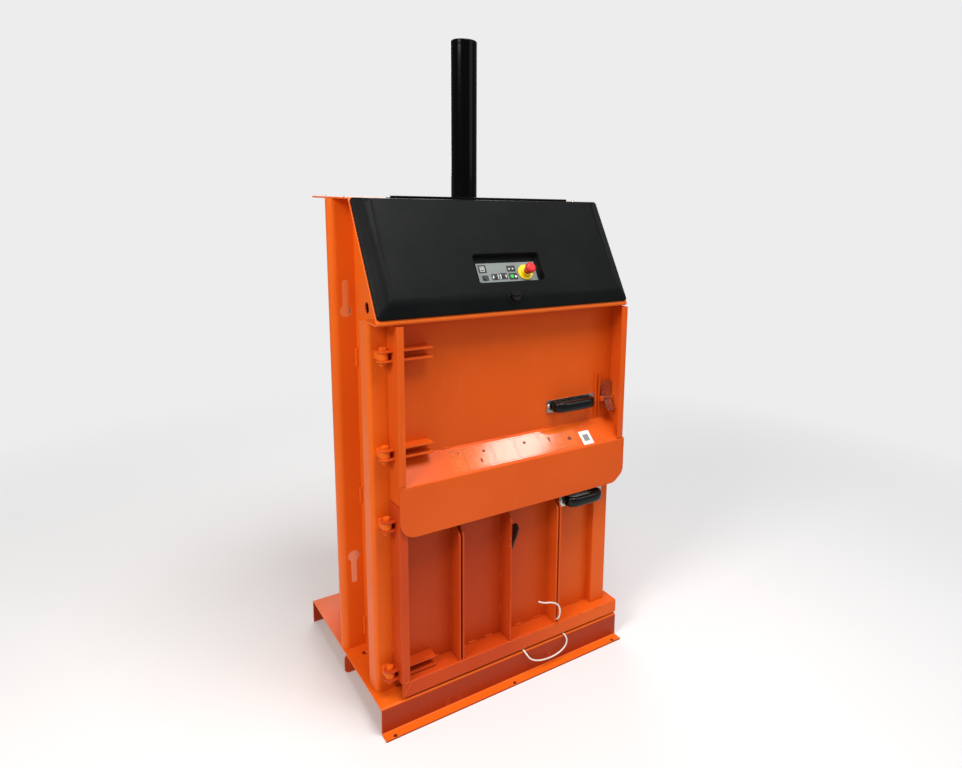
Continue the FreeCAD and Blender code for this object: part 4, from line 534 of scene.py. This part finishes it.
GROOVE = {"x": 378.0, "low": 44.0, "high": 352.0, "deep": 2.6}
LOCK = {"x": -8.0, "s": 43.0, "radius": 20.0, "high": 26.8}


def blend_min(a, b, k):
    """The smaller of two heights, with a rounded crease k wide."""
    h = max(k - abs(a - b), 0.0) / k
    return min(a, b) - h * h * k * 0.25


def box_distance(x, y, cx, cy, hx, hy, radius):
    """Signed distance to a rounded rectangle, negative inside."""
    qx = abs(x - cx) - hx + radius
    qy = abs(y - cy) - hy + radius
    out = math.hypot(max(qx, 0.0), max(qy, 0.0))
    return out + min(max(qx, qy), 0.0) - radius


def ease(value):
    """Smooth step from 0 to 1."""
    value = min(max(value, 0.0), 1.0)
    return value * value * (3.0 - 2.0 * value)


def cover_height(x, s):
    """Height of the service cover's skin above the hood at a place on the slope."""
    c = COVER
    rise = c["deep"] - c["skirt"]
    edge = c["half"] - abs(x)
    h = c["deep"]
    h = blend_min(h, c["skirt"] + edge * rise / c["side"], 7.0)
    h = blend_min(h, c["skirt"] + (s - c["low"]) * rise / c["bottom"], 6.0)
    h = blend_min(h, c["skirt"] + (c["high"] - s) * rise / c["top"], 4.0)
    rim = min(edge, s - c["low"], c["high"] - s)
    if rim < 5.0:
        h -= 2.4 * (1.0 - rim / 5.0) ** 2
    # tapered groove beside each end bevel
    g = GROOVE
    t = (s - g["low"]) / (g["high"] - g["low"])
    if -0.05 < t < 1.05:
        t = min(max(t, 0.0), 1.0)
        wide = 2.0 + 7.5 * t ** 0.8
        off = abs(abs(x) - g["x"]) - wide
        fade = ease((s - g["low"]) / 26.0) * ease((g["high"] + 4.0 - s) / 9.0)
        h -= g["deep"] * fade * ease(0.5 - off / 3.2)
        h += 1.2 * fade * math.exp(-((off / 2.0) ** 2))
    # boss round the lock
    boss = math.hypot(x - LOCK["x"], s - LOCK["s"]) - LOCK["radius"]
    h = max(h, c["skirt"] + (LOCK["high"] - c["skirt"]) * ease(0.5 - boss / 3.0))
    # the control recess
    w = WELL
    d = box_distance(x, s, (w["left"] + w["right"]) / 2, (w["low"] + w["high"]) / 2,
                     (w["right"] - w["left"]) / 2 + 1.0, (w["high"] - w["low"]) / 2 + 1.0, 9.0)
    h = h + (w["floor"] - h) * ease(0.5 - d / 3.0)
    return h


def grid_lines(stops):
    """Lines from stop to stop, each stretch with its own spacing."""
    lines = [stops[0][0]]
    for (a, step), (b, _) in zip(stops, stops[1:]):
        count = max(1, round((b - a) / step))
        lines += [a + (b - a) * (i + 1) / count for i in range(count)]
    return lines


def service_cover():
    """The moulded cover as a thin shell over a grid that is finer at its creases."""
    c = COVER
    xs = grid_lines([(-417.0, 1.7), (-360.0, 12.0), (-118.0, 1.7), (-100.0, 6.0), (-30.0, 2.0),
                     (14.0, 6.0), (104.0, 1.7), (122.0, 12.0), (360.0, 1.7), (417.0, 1.7)])
    ss = grid_lines([(c["low"], 1.7), (30.0, 2.2), (66.0, 4.0), (84.0, 1.7), (102.0, 6.0),
                     (166.0, 1.7), (184.0, 10.0), (340.0, 1.9), (c["high"], 1.9)])
    bm = bmesh.new()
    corner = 9.0
    rows = []
    for s in ss:
        row = []
        for x in xs:
            px, ps = x, s
            u = (abs(x) - (c["half"] - corner)) / corner
            for low, base, sign in ((True, c["low"], -1.0), (False, c["high"], 1.0)):
                v = ((c["low"] + corner - s) if low else (s - c["high"] + corner)) / corner
                if u > 0.0 and v > 0.0:
                    uu = u * math.sqrt(1.0 - v * v / 2.0)
                    vv = v * math.sqrt(1.0 - u * u / 2.0)
                    px = math.copysign(c["half"] - corner + uu * corner, x)
                    ps = base + sign * (vv - 1.0) * corner
            row.append((px, ps, bm.verts.new(slope_point(px, ps, cover_height(x, s)))))
        rows.append(row)
    for low, high in zip(rows, rows[1:]):
        for i in range(len(xs) - 1):
            x_mid = (low[i][0] + low[i + 1][0]) / 2
            s_mid = (low[i][1] + high[i][1]) / 2
            if abs(x_mid) < BACK["half"] and BACK["low"] < s_mid < BACK["high"]:
                continue
            bm.faces.new((low[i][2], low[i + 1][2], high[i + 1][2], high[i][2]))
    for vert in [v for v in bm.verts if not v.link_faces]:
        bm.verts.remove(vert)
    ring = ([rows[0][i] for i in range(len(xs))]
            + [row[-1] for row in rows[1:]]
            + [rows[-1][i] for i in range(len(xs) - 2, -1, -1)]
            + [row[0] for row in rows[-2:0:-1]])
    foot = [bm.verts.new(slope_point(x, s, 0.7)) for x, s, _ in ring]
    for i in range(len(ring)):
        j = (i + 1) % len(ring)
        bm.faces.new((ring[i][2], foot[i], foot[j], ring[j][2]))
    for face in bm.faces:
        face.smooth = True
    bm.normal_update()
    made = mesh_object("cover_shell", bm, "charcoal", "cover")
    wall = made.modifiers.new("wall", "SOLIDIFY")
    wall.thickness = COVER_WALL * MM
    wall.offset = -1.0
    wall.use_even_offset = False
    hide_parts("service_cover")


service_cover()


# ------------------------------------------------------------------ grips
def grip(name, node, body, reach=43.0):
    """A moulded D-grip: one swept bar with soft shoulders and flared feet."""
    low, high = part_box(node)
    x0, x1 = low.x / MM, high.x / MM
    back = high.y / MM
    mid = (low.z + high.z) / 2 / MM
    half = (x1 - x0) / 2
    cx = (x0 + x1) / 2
    bm = bmesh.new()
    rings_made = []
    count, around = 44, 20
    for i in range(count + 1):
        t = i / count
        a = math.pi * t
        # a squared arch in plan: along the plate's length and out from it
        ca, sa = math.cos(a), math.sin(a)
        px = -math.copysign(abs(ca) ** 0.42, ca) * (half - 11.0)
        out = max(sa, 0.0) ** 0.50 * (reach - 12.0)
        rings_made.append((px, out))
    loops = []
    for i, (px, out) in enumerate(rings_made):
        before = rings_made[max(i - 1, 0)]
        after = rings_made[min(i + 1, count)]
        dx, dy = after[0] - before[0], after[1] - before[1]
        size = math.hypot(dx, dy) or 1.0
        nx, ny = -dy / size, dx / size
        foot = ease(1.0 - out / 12.0)
        wide = 10.4 + 1.6 * foot
        tall = 16.5 + 1.8 * foot
        loop_made = []
        for k in range(around):
            b = 2.0 * math.pi * k / around
            cb, sb = math.cos(b), math.sin(b)
            w = math.copysign(abs(cb) ** 0.72, cb) * wide
            h = math.copysign(abs(sb) ** 0.72, sb) * tall
            x = cx + px + nx * w
            y = back - 0.4 - out - ny * w
            y = min(y, back - 0.3)
            y = max(y, back - reach)
            loop_made.append(bm.verts.new((x * MM, y * MM, (mid + h) * MM)))
        loops.append(loop_made)
    for a, b in zip(loops, loops[1:]):
        for k in range(around):
            j = (k + 1) % around
            bm.faces.new((a[k], b[k], b[j], a[j]))
    bm.faces.new(loops[0])
    bm.faces.new(list(reversed(loops[-1])))
    for face in bm.faces:
        face.smooth = True
    bmesh.ops.recalc_face_normals(bm, faces=bm.faces)
    made = mesh_object(name, bm, "black_grip", body)
    made.modifiers.new("soft", "SUBSURF").render_levels = 1
    made.modifiers["soft"].levels = 1
    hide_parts(node)


grip("grip_upper", "upper_grip", "upper_door")
grip("grip_lower", "lower_grip", "lower_door")


# ------------------------------------------------------------------ small parts
def tube_profile(bm, spot, axis, profile, around=24):
    """A turned part: profile of (radius, along) in mm from spot along axis."""
    axis = Vector(axis).normalized()
    side = axis.orthogonal().normalized()
    other = axis.cross(side)
    spot = Vector(spot)
    loops = []
    for radius, along in profile:
        centre = spot + axis * along * MM
        if radius <= 0.0:
            loops.append([bm.verts.new(centre)])
            continue
        loops.append([
            bm.verts.new(centre + (side * math.cos(a) + other * math.sin(a)) * radius * MM)
            for a in (2.0 * math.pi * k / around for k in range(around))
        ])
    for a, b in zip(loops, loops[1:]):
        for k in range(around):
            j = (k + 1) % around
            corners = [a[k], a[j]] if len(a) > 1 else [a[0]]
            corners += [b[j], b[k]] if len(b) > 1 else [b[0]]
            face = bm.faces.new(corners)
            face.smooth = True


DOME = [(0.0, 3.1), (1.6, 2.95), (3.0, 2.5), (4.1, 1.7), (4.8, 0.7), (5.0, 0.0), (5.0, -0.4),
        (0.0, -0.4)]
SCREW = [(0.0, 1.6), (1.7, 1.6), (1.9, 3.0), (4.0, 3.1), (5.2, 2.6), (6.0, 1.2), (6.1, 0.5),
         (8.6, 0.5), (9.0, 0.1), (9.0, -0.3), (0.0, -0.3)]


def turned(name, spots, axis, profile, key, body, around=20):
    """The same turned part at several places, as one piece."""
    bm = bmesh.new()
    for spot in spots:
        tube_profile(bm, spot, axis, profile, around)
    bmesh.ops.recalc_face_normals(bm, faces=bm.faces)
    return mesh_object(name, bm, key, body)


BEAD_SIDES = 8
BEAD_STEP = 2.2          # along the bead, mm


def bead(bm, start, end, radius, seed):
    """A weld bead: a lumpy half-buried roll from start to end."""
    rng = random.Random(seed)
    start, end = Vector(start), Vector(end)
    run = end - start
    steps = max(6, int(run.length / (BEAD_STEP * MM)))
    axis = run.normalized()
    side = axis.orthogonal().normalized()
    other = axis.cross(side)
    loops = []
    for i in range(steps + 1):
        t = i / steps
        swell = min(1.0, 5.0 * t + 0.35, 5.0 * (1.0 - t) + 0.35)
        lumps = 0.86 + 0.16 * math.sin(i * 2.1 + seed) + rng.uniform(-0.05, 0.05)
        r = radius * MM * swell * lumps
        centre = start + run * t
        loops.append([
            bm.verts.new(centre + (side * math.cos(a) + other * math.sin(a)) * r)
            for a in (2.0 * math.pi * k / BEAD_SIDES for k in range(BEAD_SIDES))
        ])
    for a, b in zip(loops, loops[1:]):
        for k in range(BEAD_SIDES):
            j = (k + 1) % BEAD_SIDES
            bm.faces.new((a[k], a[j], b[j], b[k])).smooth = True
    bm.faces.new(list(reversed(loops[0])))
    bm.faces.new(loops[-1])


def beads(name, runs, radius, key, body):
    """Several weld beads as one piece."""
    bm = bmesh.new()
    for n, (start, end) in enumerate(runs):
        bead(bm, start, end, radius, n + 1)
    bmesh.ops.recalc_face_normals(bm, faces=bm.faces)
    return mesh_object(name, bm, key, body)


def mm(x, y, z):
    """A point in millimetres, in the frame's metres."""
    return Vector((x * MM, y * MM, z * MM))


def lozenge(bm, corners, centre_lift, rim=0.12):
    """A pressed tab: a soft-edged block over four corners, lifted by a vector."""
    lift = Vector(centre_lift)
    corners = [Vector(c) for c in corners]
    middle = sum(corners, Vector()) / 4
    low = [bm.verts.new(c) for c in corners]
    waist = [bm.verts.new(c + lift * 0.7) for c in corners]
    top = [bm.verts.new(c + (middle - c) * rim + lift) for c in corners]
    for a, b in ((low, waist), (waist, top)):
        for k in range(4):
            j = (k + 1) % 4
            bm.faces.new((a[k], a[j], b[j], b[k]))
    bm.faces.new(top)
    bm.faces.new(list(reversed(low)))


# stitch welds where the side wall meets each column
bm = bmesh.new()
for side in (-1.0, 1.0):
    for z0, z1 in ((1010.0, 1068.0), (574.0, 627.0), (121.0, 184.0)):
        x = side * 360.0
        lozenge(bm, [mm(x, -7.0, z0), mm(x, 4.0, z0), mm(x, 4.0, z1), mm(x, -7.0, z1)],
                (side * 7.0 * MM, 0.0, 0.0), 0.10)
bmesh.ops.recalc_face_normals(bm, faces=bm.faces)
tabs = mesh_object("column_tabs", bm, "orange", "frame")
edge = tabs.modifiers.new("edge", "BEVEL")
edge.width = 1.2 * MM
edge.segments = 2

# beads of the lugs on the posts
runs = []
for z in (1099.0, 826.0, 618.0, 157.5):
    for dz in (-10.6, 10.6):
        runs.append((mm(-399.0, -243.6, z + dz), mm(-375.0, -243.6, z + dz)))
beads("lug_welds", runs, 2.2, "orange", "frame")

# beads of the hinge strips inside the upper door
runs = []
for z in (1112.5, 1085.7, 839.3, 813.5):
    runs.append((mm(-356.0, -251.2, z), mm(-318.0, -251.2, z)))
    runs.append((mm(-286.0, -251.2, z), mm(-254.0, -251.2, z)))
beads("upper_ear_welds", runs, 1.8, "orange_door", "upper_door")

# places on the lower door and the foot, mm
LEDGE_BOX = [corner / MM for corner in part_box("lower_channel")]
DOOR_LEFT, LEDGE_FRONT, LEDGE_LOW = LEDGE_BOX[0]
LEDGE_Z = LEDGE_BOX[1].z
PANEL_Y = LEDGE_BOX[1].y - 5.0       # front of the 5 mm sheet
FOOT_RING = 5.6
FOOT_X = (-400.0, 0.0, 400.0)
FOOT_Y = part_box("base_plate")[0].y / MM + 8.0


# tacks along the shelf, the ribs and the bottom ledge
def tacks(name, spots, key, body):
    """Flat weld tacks: each spot is a corner, two edges and a lift, in mm."""
    bm = bmesh.new()
    for (x, y, z), (dx, dz), lift in spots:
        lozenge(bm, [mm(x, y, z), mm(x + dx, y, z), mm(x + dx, y, z + dz), mm(x, y, z + dz)],
                (0.0, -lift * MM, 0.0), 0.12)
    bmesh.ops.recalc_face_normals(bm, faces=bm.faces)
    made = mesh_object(name, bm, key, body)
    edge = made.modifiers.new("edge", "BEVEL")
    edge.width = 0.6 * MM
    edge.segments = 2


runs = [(mm(x, -251.4, 800.6), mm(x + 34.0, -251.4, 800.6)) for x in (-212.0, -20.0, 158.0, 300.0)]
runs += [(mm(-366.0, -320.6, 736.8), mm(-357.0, -320.6, 736.8))]
beads("shelf_welds", runs, 2.4, "orange_door", "upper_door")
RIB_X = (-362.0, -176.8, -1.0, 174.3)
tacks("lower_rib_welds",
      [((x - 5.5, PANEL_Y, z), (5.0, 24.0), 3.2) for x in RIB_X for z in (210.0, 330.0, 452.0)]
      + [((338.0, PANEL_Y, z), (5.0, 24.0), 3.2) for z in (200.0, 330.0, 470.0)],
      "orange_door", "lower_door")
LEDGE_X = (-338.0, -250.0, -122.0, -62.0, 50.0, 126.0, 218.0, 288.0)
tacks("ledge_welds", [((x, PANEL_Y, LEDGE_Z), (27.0, 5.5), 3.4) for x in LEDGE_X],
      "orange_door", "lower_door")
beads("ledge_front_welds",
      [(mm(x, LEDGE_FRONT, LEDGE_Z - 0.4), mm(x + 17.0, LEDGE_FRONT, LEDGE_Z - 0.4))
       for x in (-360.0, -215.0, -150.0, -20.0, 80.0, 170.0, 262.0, 335.0)],
      1.9, "orange_door", "lower_door")
beads("mitre_weld", [(mm(DOOR_LEFT + 3.0, LEDGE_FRONT, LEDGE_LOW + 4.0),
                      mm(DOOR_LEFT + 30.0, LEDGE_FRONT, LEDGE_Z - 3.0))],
      1.7, "orange_door", "lower_door")

# dark discs deep in the bolt holes of the foot: painted shade where the holes would show the pale
# floor
turned("foot_hole_shade_discs", [mm(x, FOOT_Y, 0.2) for x in FOOT_X], (0.0, 0.0, 1.0),
       [(0.0, 0.8), (FOOT_RING - 0.4, 0.8), (FOOT_RING, 0.4), (FOOT_RING, 0.0), (0.0, 0.0)],
       "mark", "frame")

# rivets of the strap cleat
turned("cleat_rivets", [mm(-5.0, -306.0, 486.0), mm(-5.0, -306.0, 462.0)], (-1.0, 0.0, 0.0),
       [(0.0, 1.6), (1.4, 1.4), (2.2, 0.8), (2.6, 0.0), (0.0, 0.0)], "steel", "lower_door")

# bolts of the two latch levers
LEVER_BOLTS = (("upper_latch", 394.0, -259.1, 890.5), ("lower_latch", 370.0, -289.1, 650.5))
BOLT_HALF_PITCH = 7.0
for body, x, y, z in LEVER_BOLTS:
    turned(body + "_bolts",
           [mm(x - BOLT_HALF_PITCH, y, z), mm(x + BOLT_HALF_PITCH, y, z)], (0.0, -1.0, 0.0),
           [(r * 0.9, a * 0.9) for r, a in DOME], "bright_steel", body)

# screws of the hood and the rear cover
turned("rear_screws",
       [mm(x, 257.6, z) for x in (-330.0, -110.0, 110.0, 330.0) for z in (1210.0, 1415.0)],
       (0.0, 1.0, 0.0), SCREW, "steel", "frame")
turned("hood_screws", [mm(x, y, 1512.0) for x in (-395.0, 395.0) for y in (-40.0, 120.0)],
       (0.0, 0.0, 1.0), SCREW, "steel", "frame")


# ------------------------------------------------------------------ flat marks
def sticker(name, where, outlines, height, thick, key, body):
    """Thin raised films; outlines are corner lists on a mapped plane."""
    bm = bmesh.new()
    for corners in outlines:
        low = [bm.verts.new(where(x, s, height)) for x, s in corners]
        top = [bm.verts.new(where(x, s, height + thick)) for x, s in corners]
        bm.faces.new(top)
        bm.faces.new(list(reversed(low)))
        for k in range(len(corners)):
            j = (k + 1) % len(corners)
            bm.faces.new((low[k], low[j], top[j], top[k]))
    bmesh.ops.recalc_face_normals(bm, faces=bm.faces)
    return mesh_object(name, bm, key, body)


def rounded(x0, s0, x1, s1, radius, steps=5):
    """A box outline with round corners."""
    corners = []
    for cx, cs, start in ((x1 - radius, s1 - radius, 0.0), (x0 + radius, s1 - radius, 90.0),
                          (x0 + radius, s0 + radius, 180.0), (x1 - radius, s0 + radius, 270.0)):
        for i in range(steps + 1):
            a = math.radians(start + 90.0 * i / steps)
            corners.append((cx + radius * math.cos(a), cs + radius * math.sin(a)))
    return corners


def frame_lines(x0, s0, x1, s1, w):
    """Four thin strips round a box."""
    return [[(x0, s0), (x1, s0), (x1, s0 + w), (x0, s0 + w)],
            [(x0, s1 - w), (x1, s1 - w), (x1, s1), (x0, s1)],
            [(x0, s0 + w), (x0 + w, s0 + w), (x0 + w, s1 - w), (x0, s1 - w)],
            [(x1 - w, s0 + w), (x1, s0 + w), (x1, s1 - w), (x1 - w, s1 - w)]]


def arrow(x, s, size, up=True):
    """A block arrow's outline."""
    k = 1.0 if up else -1.0
    return [(x - size * 0.28, s - k * size), (x + size * 0.28, s - k * size),
            (x + size * 0.28, s + k * size * 0.1), (x + size * 0.75, s + k * size * 0.1),
            (x, s + k * size), (x - size * 0.75, s + k * size * 0.1),
            (x - size * 0.28, s + k * size * 0.1)]


def disc(x, s, radius, steps=20):
    """A round outline."""
    return [(x + radius * math.cos(2 * math.pi * i / steps),
             s + radius * math.sin(2 * math.pi * i / steps)) for i in range(steps)]


FACE = WELL["floor"] + 2.0
blacks = [rounded(-92.0, 127.0, -66.0, 152.0, 3.0), rounded(-86.5, 102.0, -65.5, 119.5, 3.0),
          rounded(-55.0, 103.0, -29.5, 123.0, 3.0), rounded(-27.0, 104.0, -1.5, 124.5, 3.0),
          rounded(3.0, 102.0, 33.0, 123.0, 3.0), rounded(2.0, 127.5, 31.0, 147.0, 3.0)]


def with_hole(outer, x, s, radius):
    """Splits a pad round a round bore into two halves."""
    ring = disc(x, s, radius, 24)
    left = [p for p in outer if p[0] <= x]
    right = [p for p in outer if p[0] > x]
    left.sort(key=lambda p: -math.atan2(p[1] - s, -(p[0] - x)))
    right.sort(key=lambda p: math.atan2(p[1] - s, p[0] - x))
    ring_left = sorted([p for p in ring if p[0] <= x + 1e-6],
                       key=lambda p: math.atan2(p[1] - s, -(p[0] - x)))
    ring_right = sorted([p for p in ring if p[0] >= x - 1e-6],
                        key=lambda p: -math.atan2(p[1] - s, p[0] - x))
    top = max(p[1] for p in outer)
    low = min(p[1] for p in outer)
    return [[(x, top)] + left + [(x, low)] + ring_left,
            [(x, low)] + right + [(x, top)] + ring_right]


pads = [blacks[0], blacks[5]]
for outline_made, (bx, bs) in zip(blacks[1:5], ((-76.0, 110.0), (-41.0, 113.0), (-15.0, 114.5),
                                                (12.5, 112.0))):
    pads += with_hole(outline_made, bx, bs, 6.3)
sticker("panel_marks", slope_point, pads, FACE, 0.25, "mark", "cover")
whites = [arrow(-48.5, 113.0, 5.0, False), arrow(-6.5, 114.5, 5.0, True),
          [(-34.0, 106.0), (-31.8, 106.0), (-31.8, 120.0), (-34.0, 120.0)],
          [(-25.2, 107.0), (-23.0, 107.0), (-23.0, 121.0), (-25.2, 121.0)],
          disc(26.5, 112.0, 3.6), disc(22.0, 137.0, 2.4), disc(10.0, 137.0, 2.4)]
whites += frame_lines(-86.0, 132.0, -72.0, 147.0, 1.1)
whites += [[(-84.0, 137.5), (-74.0, 137.5), (-74.0, 139.0), (-84.0, 139.0)],
           [(-84.0, 142.0), (-74.0, 142.0), (-74.0, 143.5), (-84.0, 143.5)]]
sticker("panel_signs", slope_point, whites, FACE + 0.25, 0.15, "white_mark", "cover")
greys = [disc(x, 142.0, 1.9) for x in (-52.0, -40.0, -28.0, -16.0)]
greys += [[(x - 2.6, 135.6), (x + 2.6, 135.6), (x + 2.6, 136.4), (x - 2.6, 136.4)]
          for x in (-52.0, -40.0, -28.0, -16.0)]
sticker("panel_lamps", slope_point, greys, FACE, 0.2, "grey_mark", "cover")

# the film with its plain boxes, and the blank label
sticker("shelf_film", shelf_point, [rounded(-196.0, 9.0, 258.0, 86.0, 3.0)], 0.0, 0.22, "film",
        "upper_door")
thin = []
for x0, x1 in ((-192.0, -150.0), (-147.0, -58.0), (-52.0, 22.0), (28.0, 112.0), (118.0, 252.0)):
    thin += frame_lines(x0, 13.0, x1, 82.0, 0.9)
thin += frame_lines(-188.0, 62.0, -172.0, 78.0, 0.9) + frame_lines(-186.0, 24.0, -160.0, 54.0, 0.9)
thin += [arrow(-165.0, 70.0, 6.0), arrow(-100.0, 34.0, 8.0, False), arrow(150.0, 54.0, 9.0)]
thin += frame_lines(-138.0, 52.0, -112.0, 74.0, 0.9) + frame_lines(172.0, 26.0, 204.0, 60.0, 0.9)
thin += [disc(-82.0, 62.0, 5.0), disc(224.0, 42.0, 7.0), disc(60.0, 60.0, 5.0)]
sticker("shelf_outlines", shelf_point, thin, 0.22, 0.08, "outline", "upper_door")
sticker("blank_label", shelf_point, [rounded(266.0, 7.5, 307.0, 57.0, 2.0)], 0.0, 0.25, "label",
        "upper_door")
sticker("label_patch", shelf_point, [rounded(276.0, 20.0, 297.0, 44.0, 1.0)], 0.25, 0.05,
        "grey_mark", "upper_door")
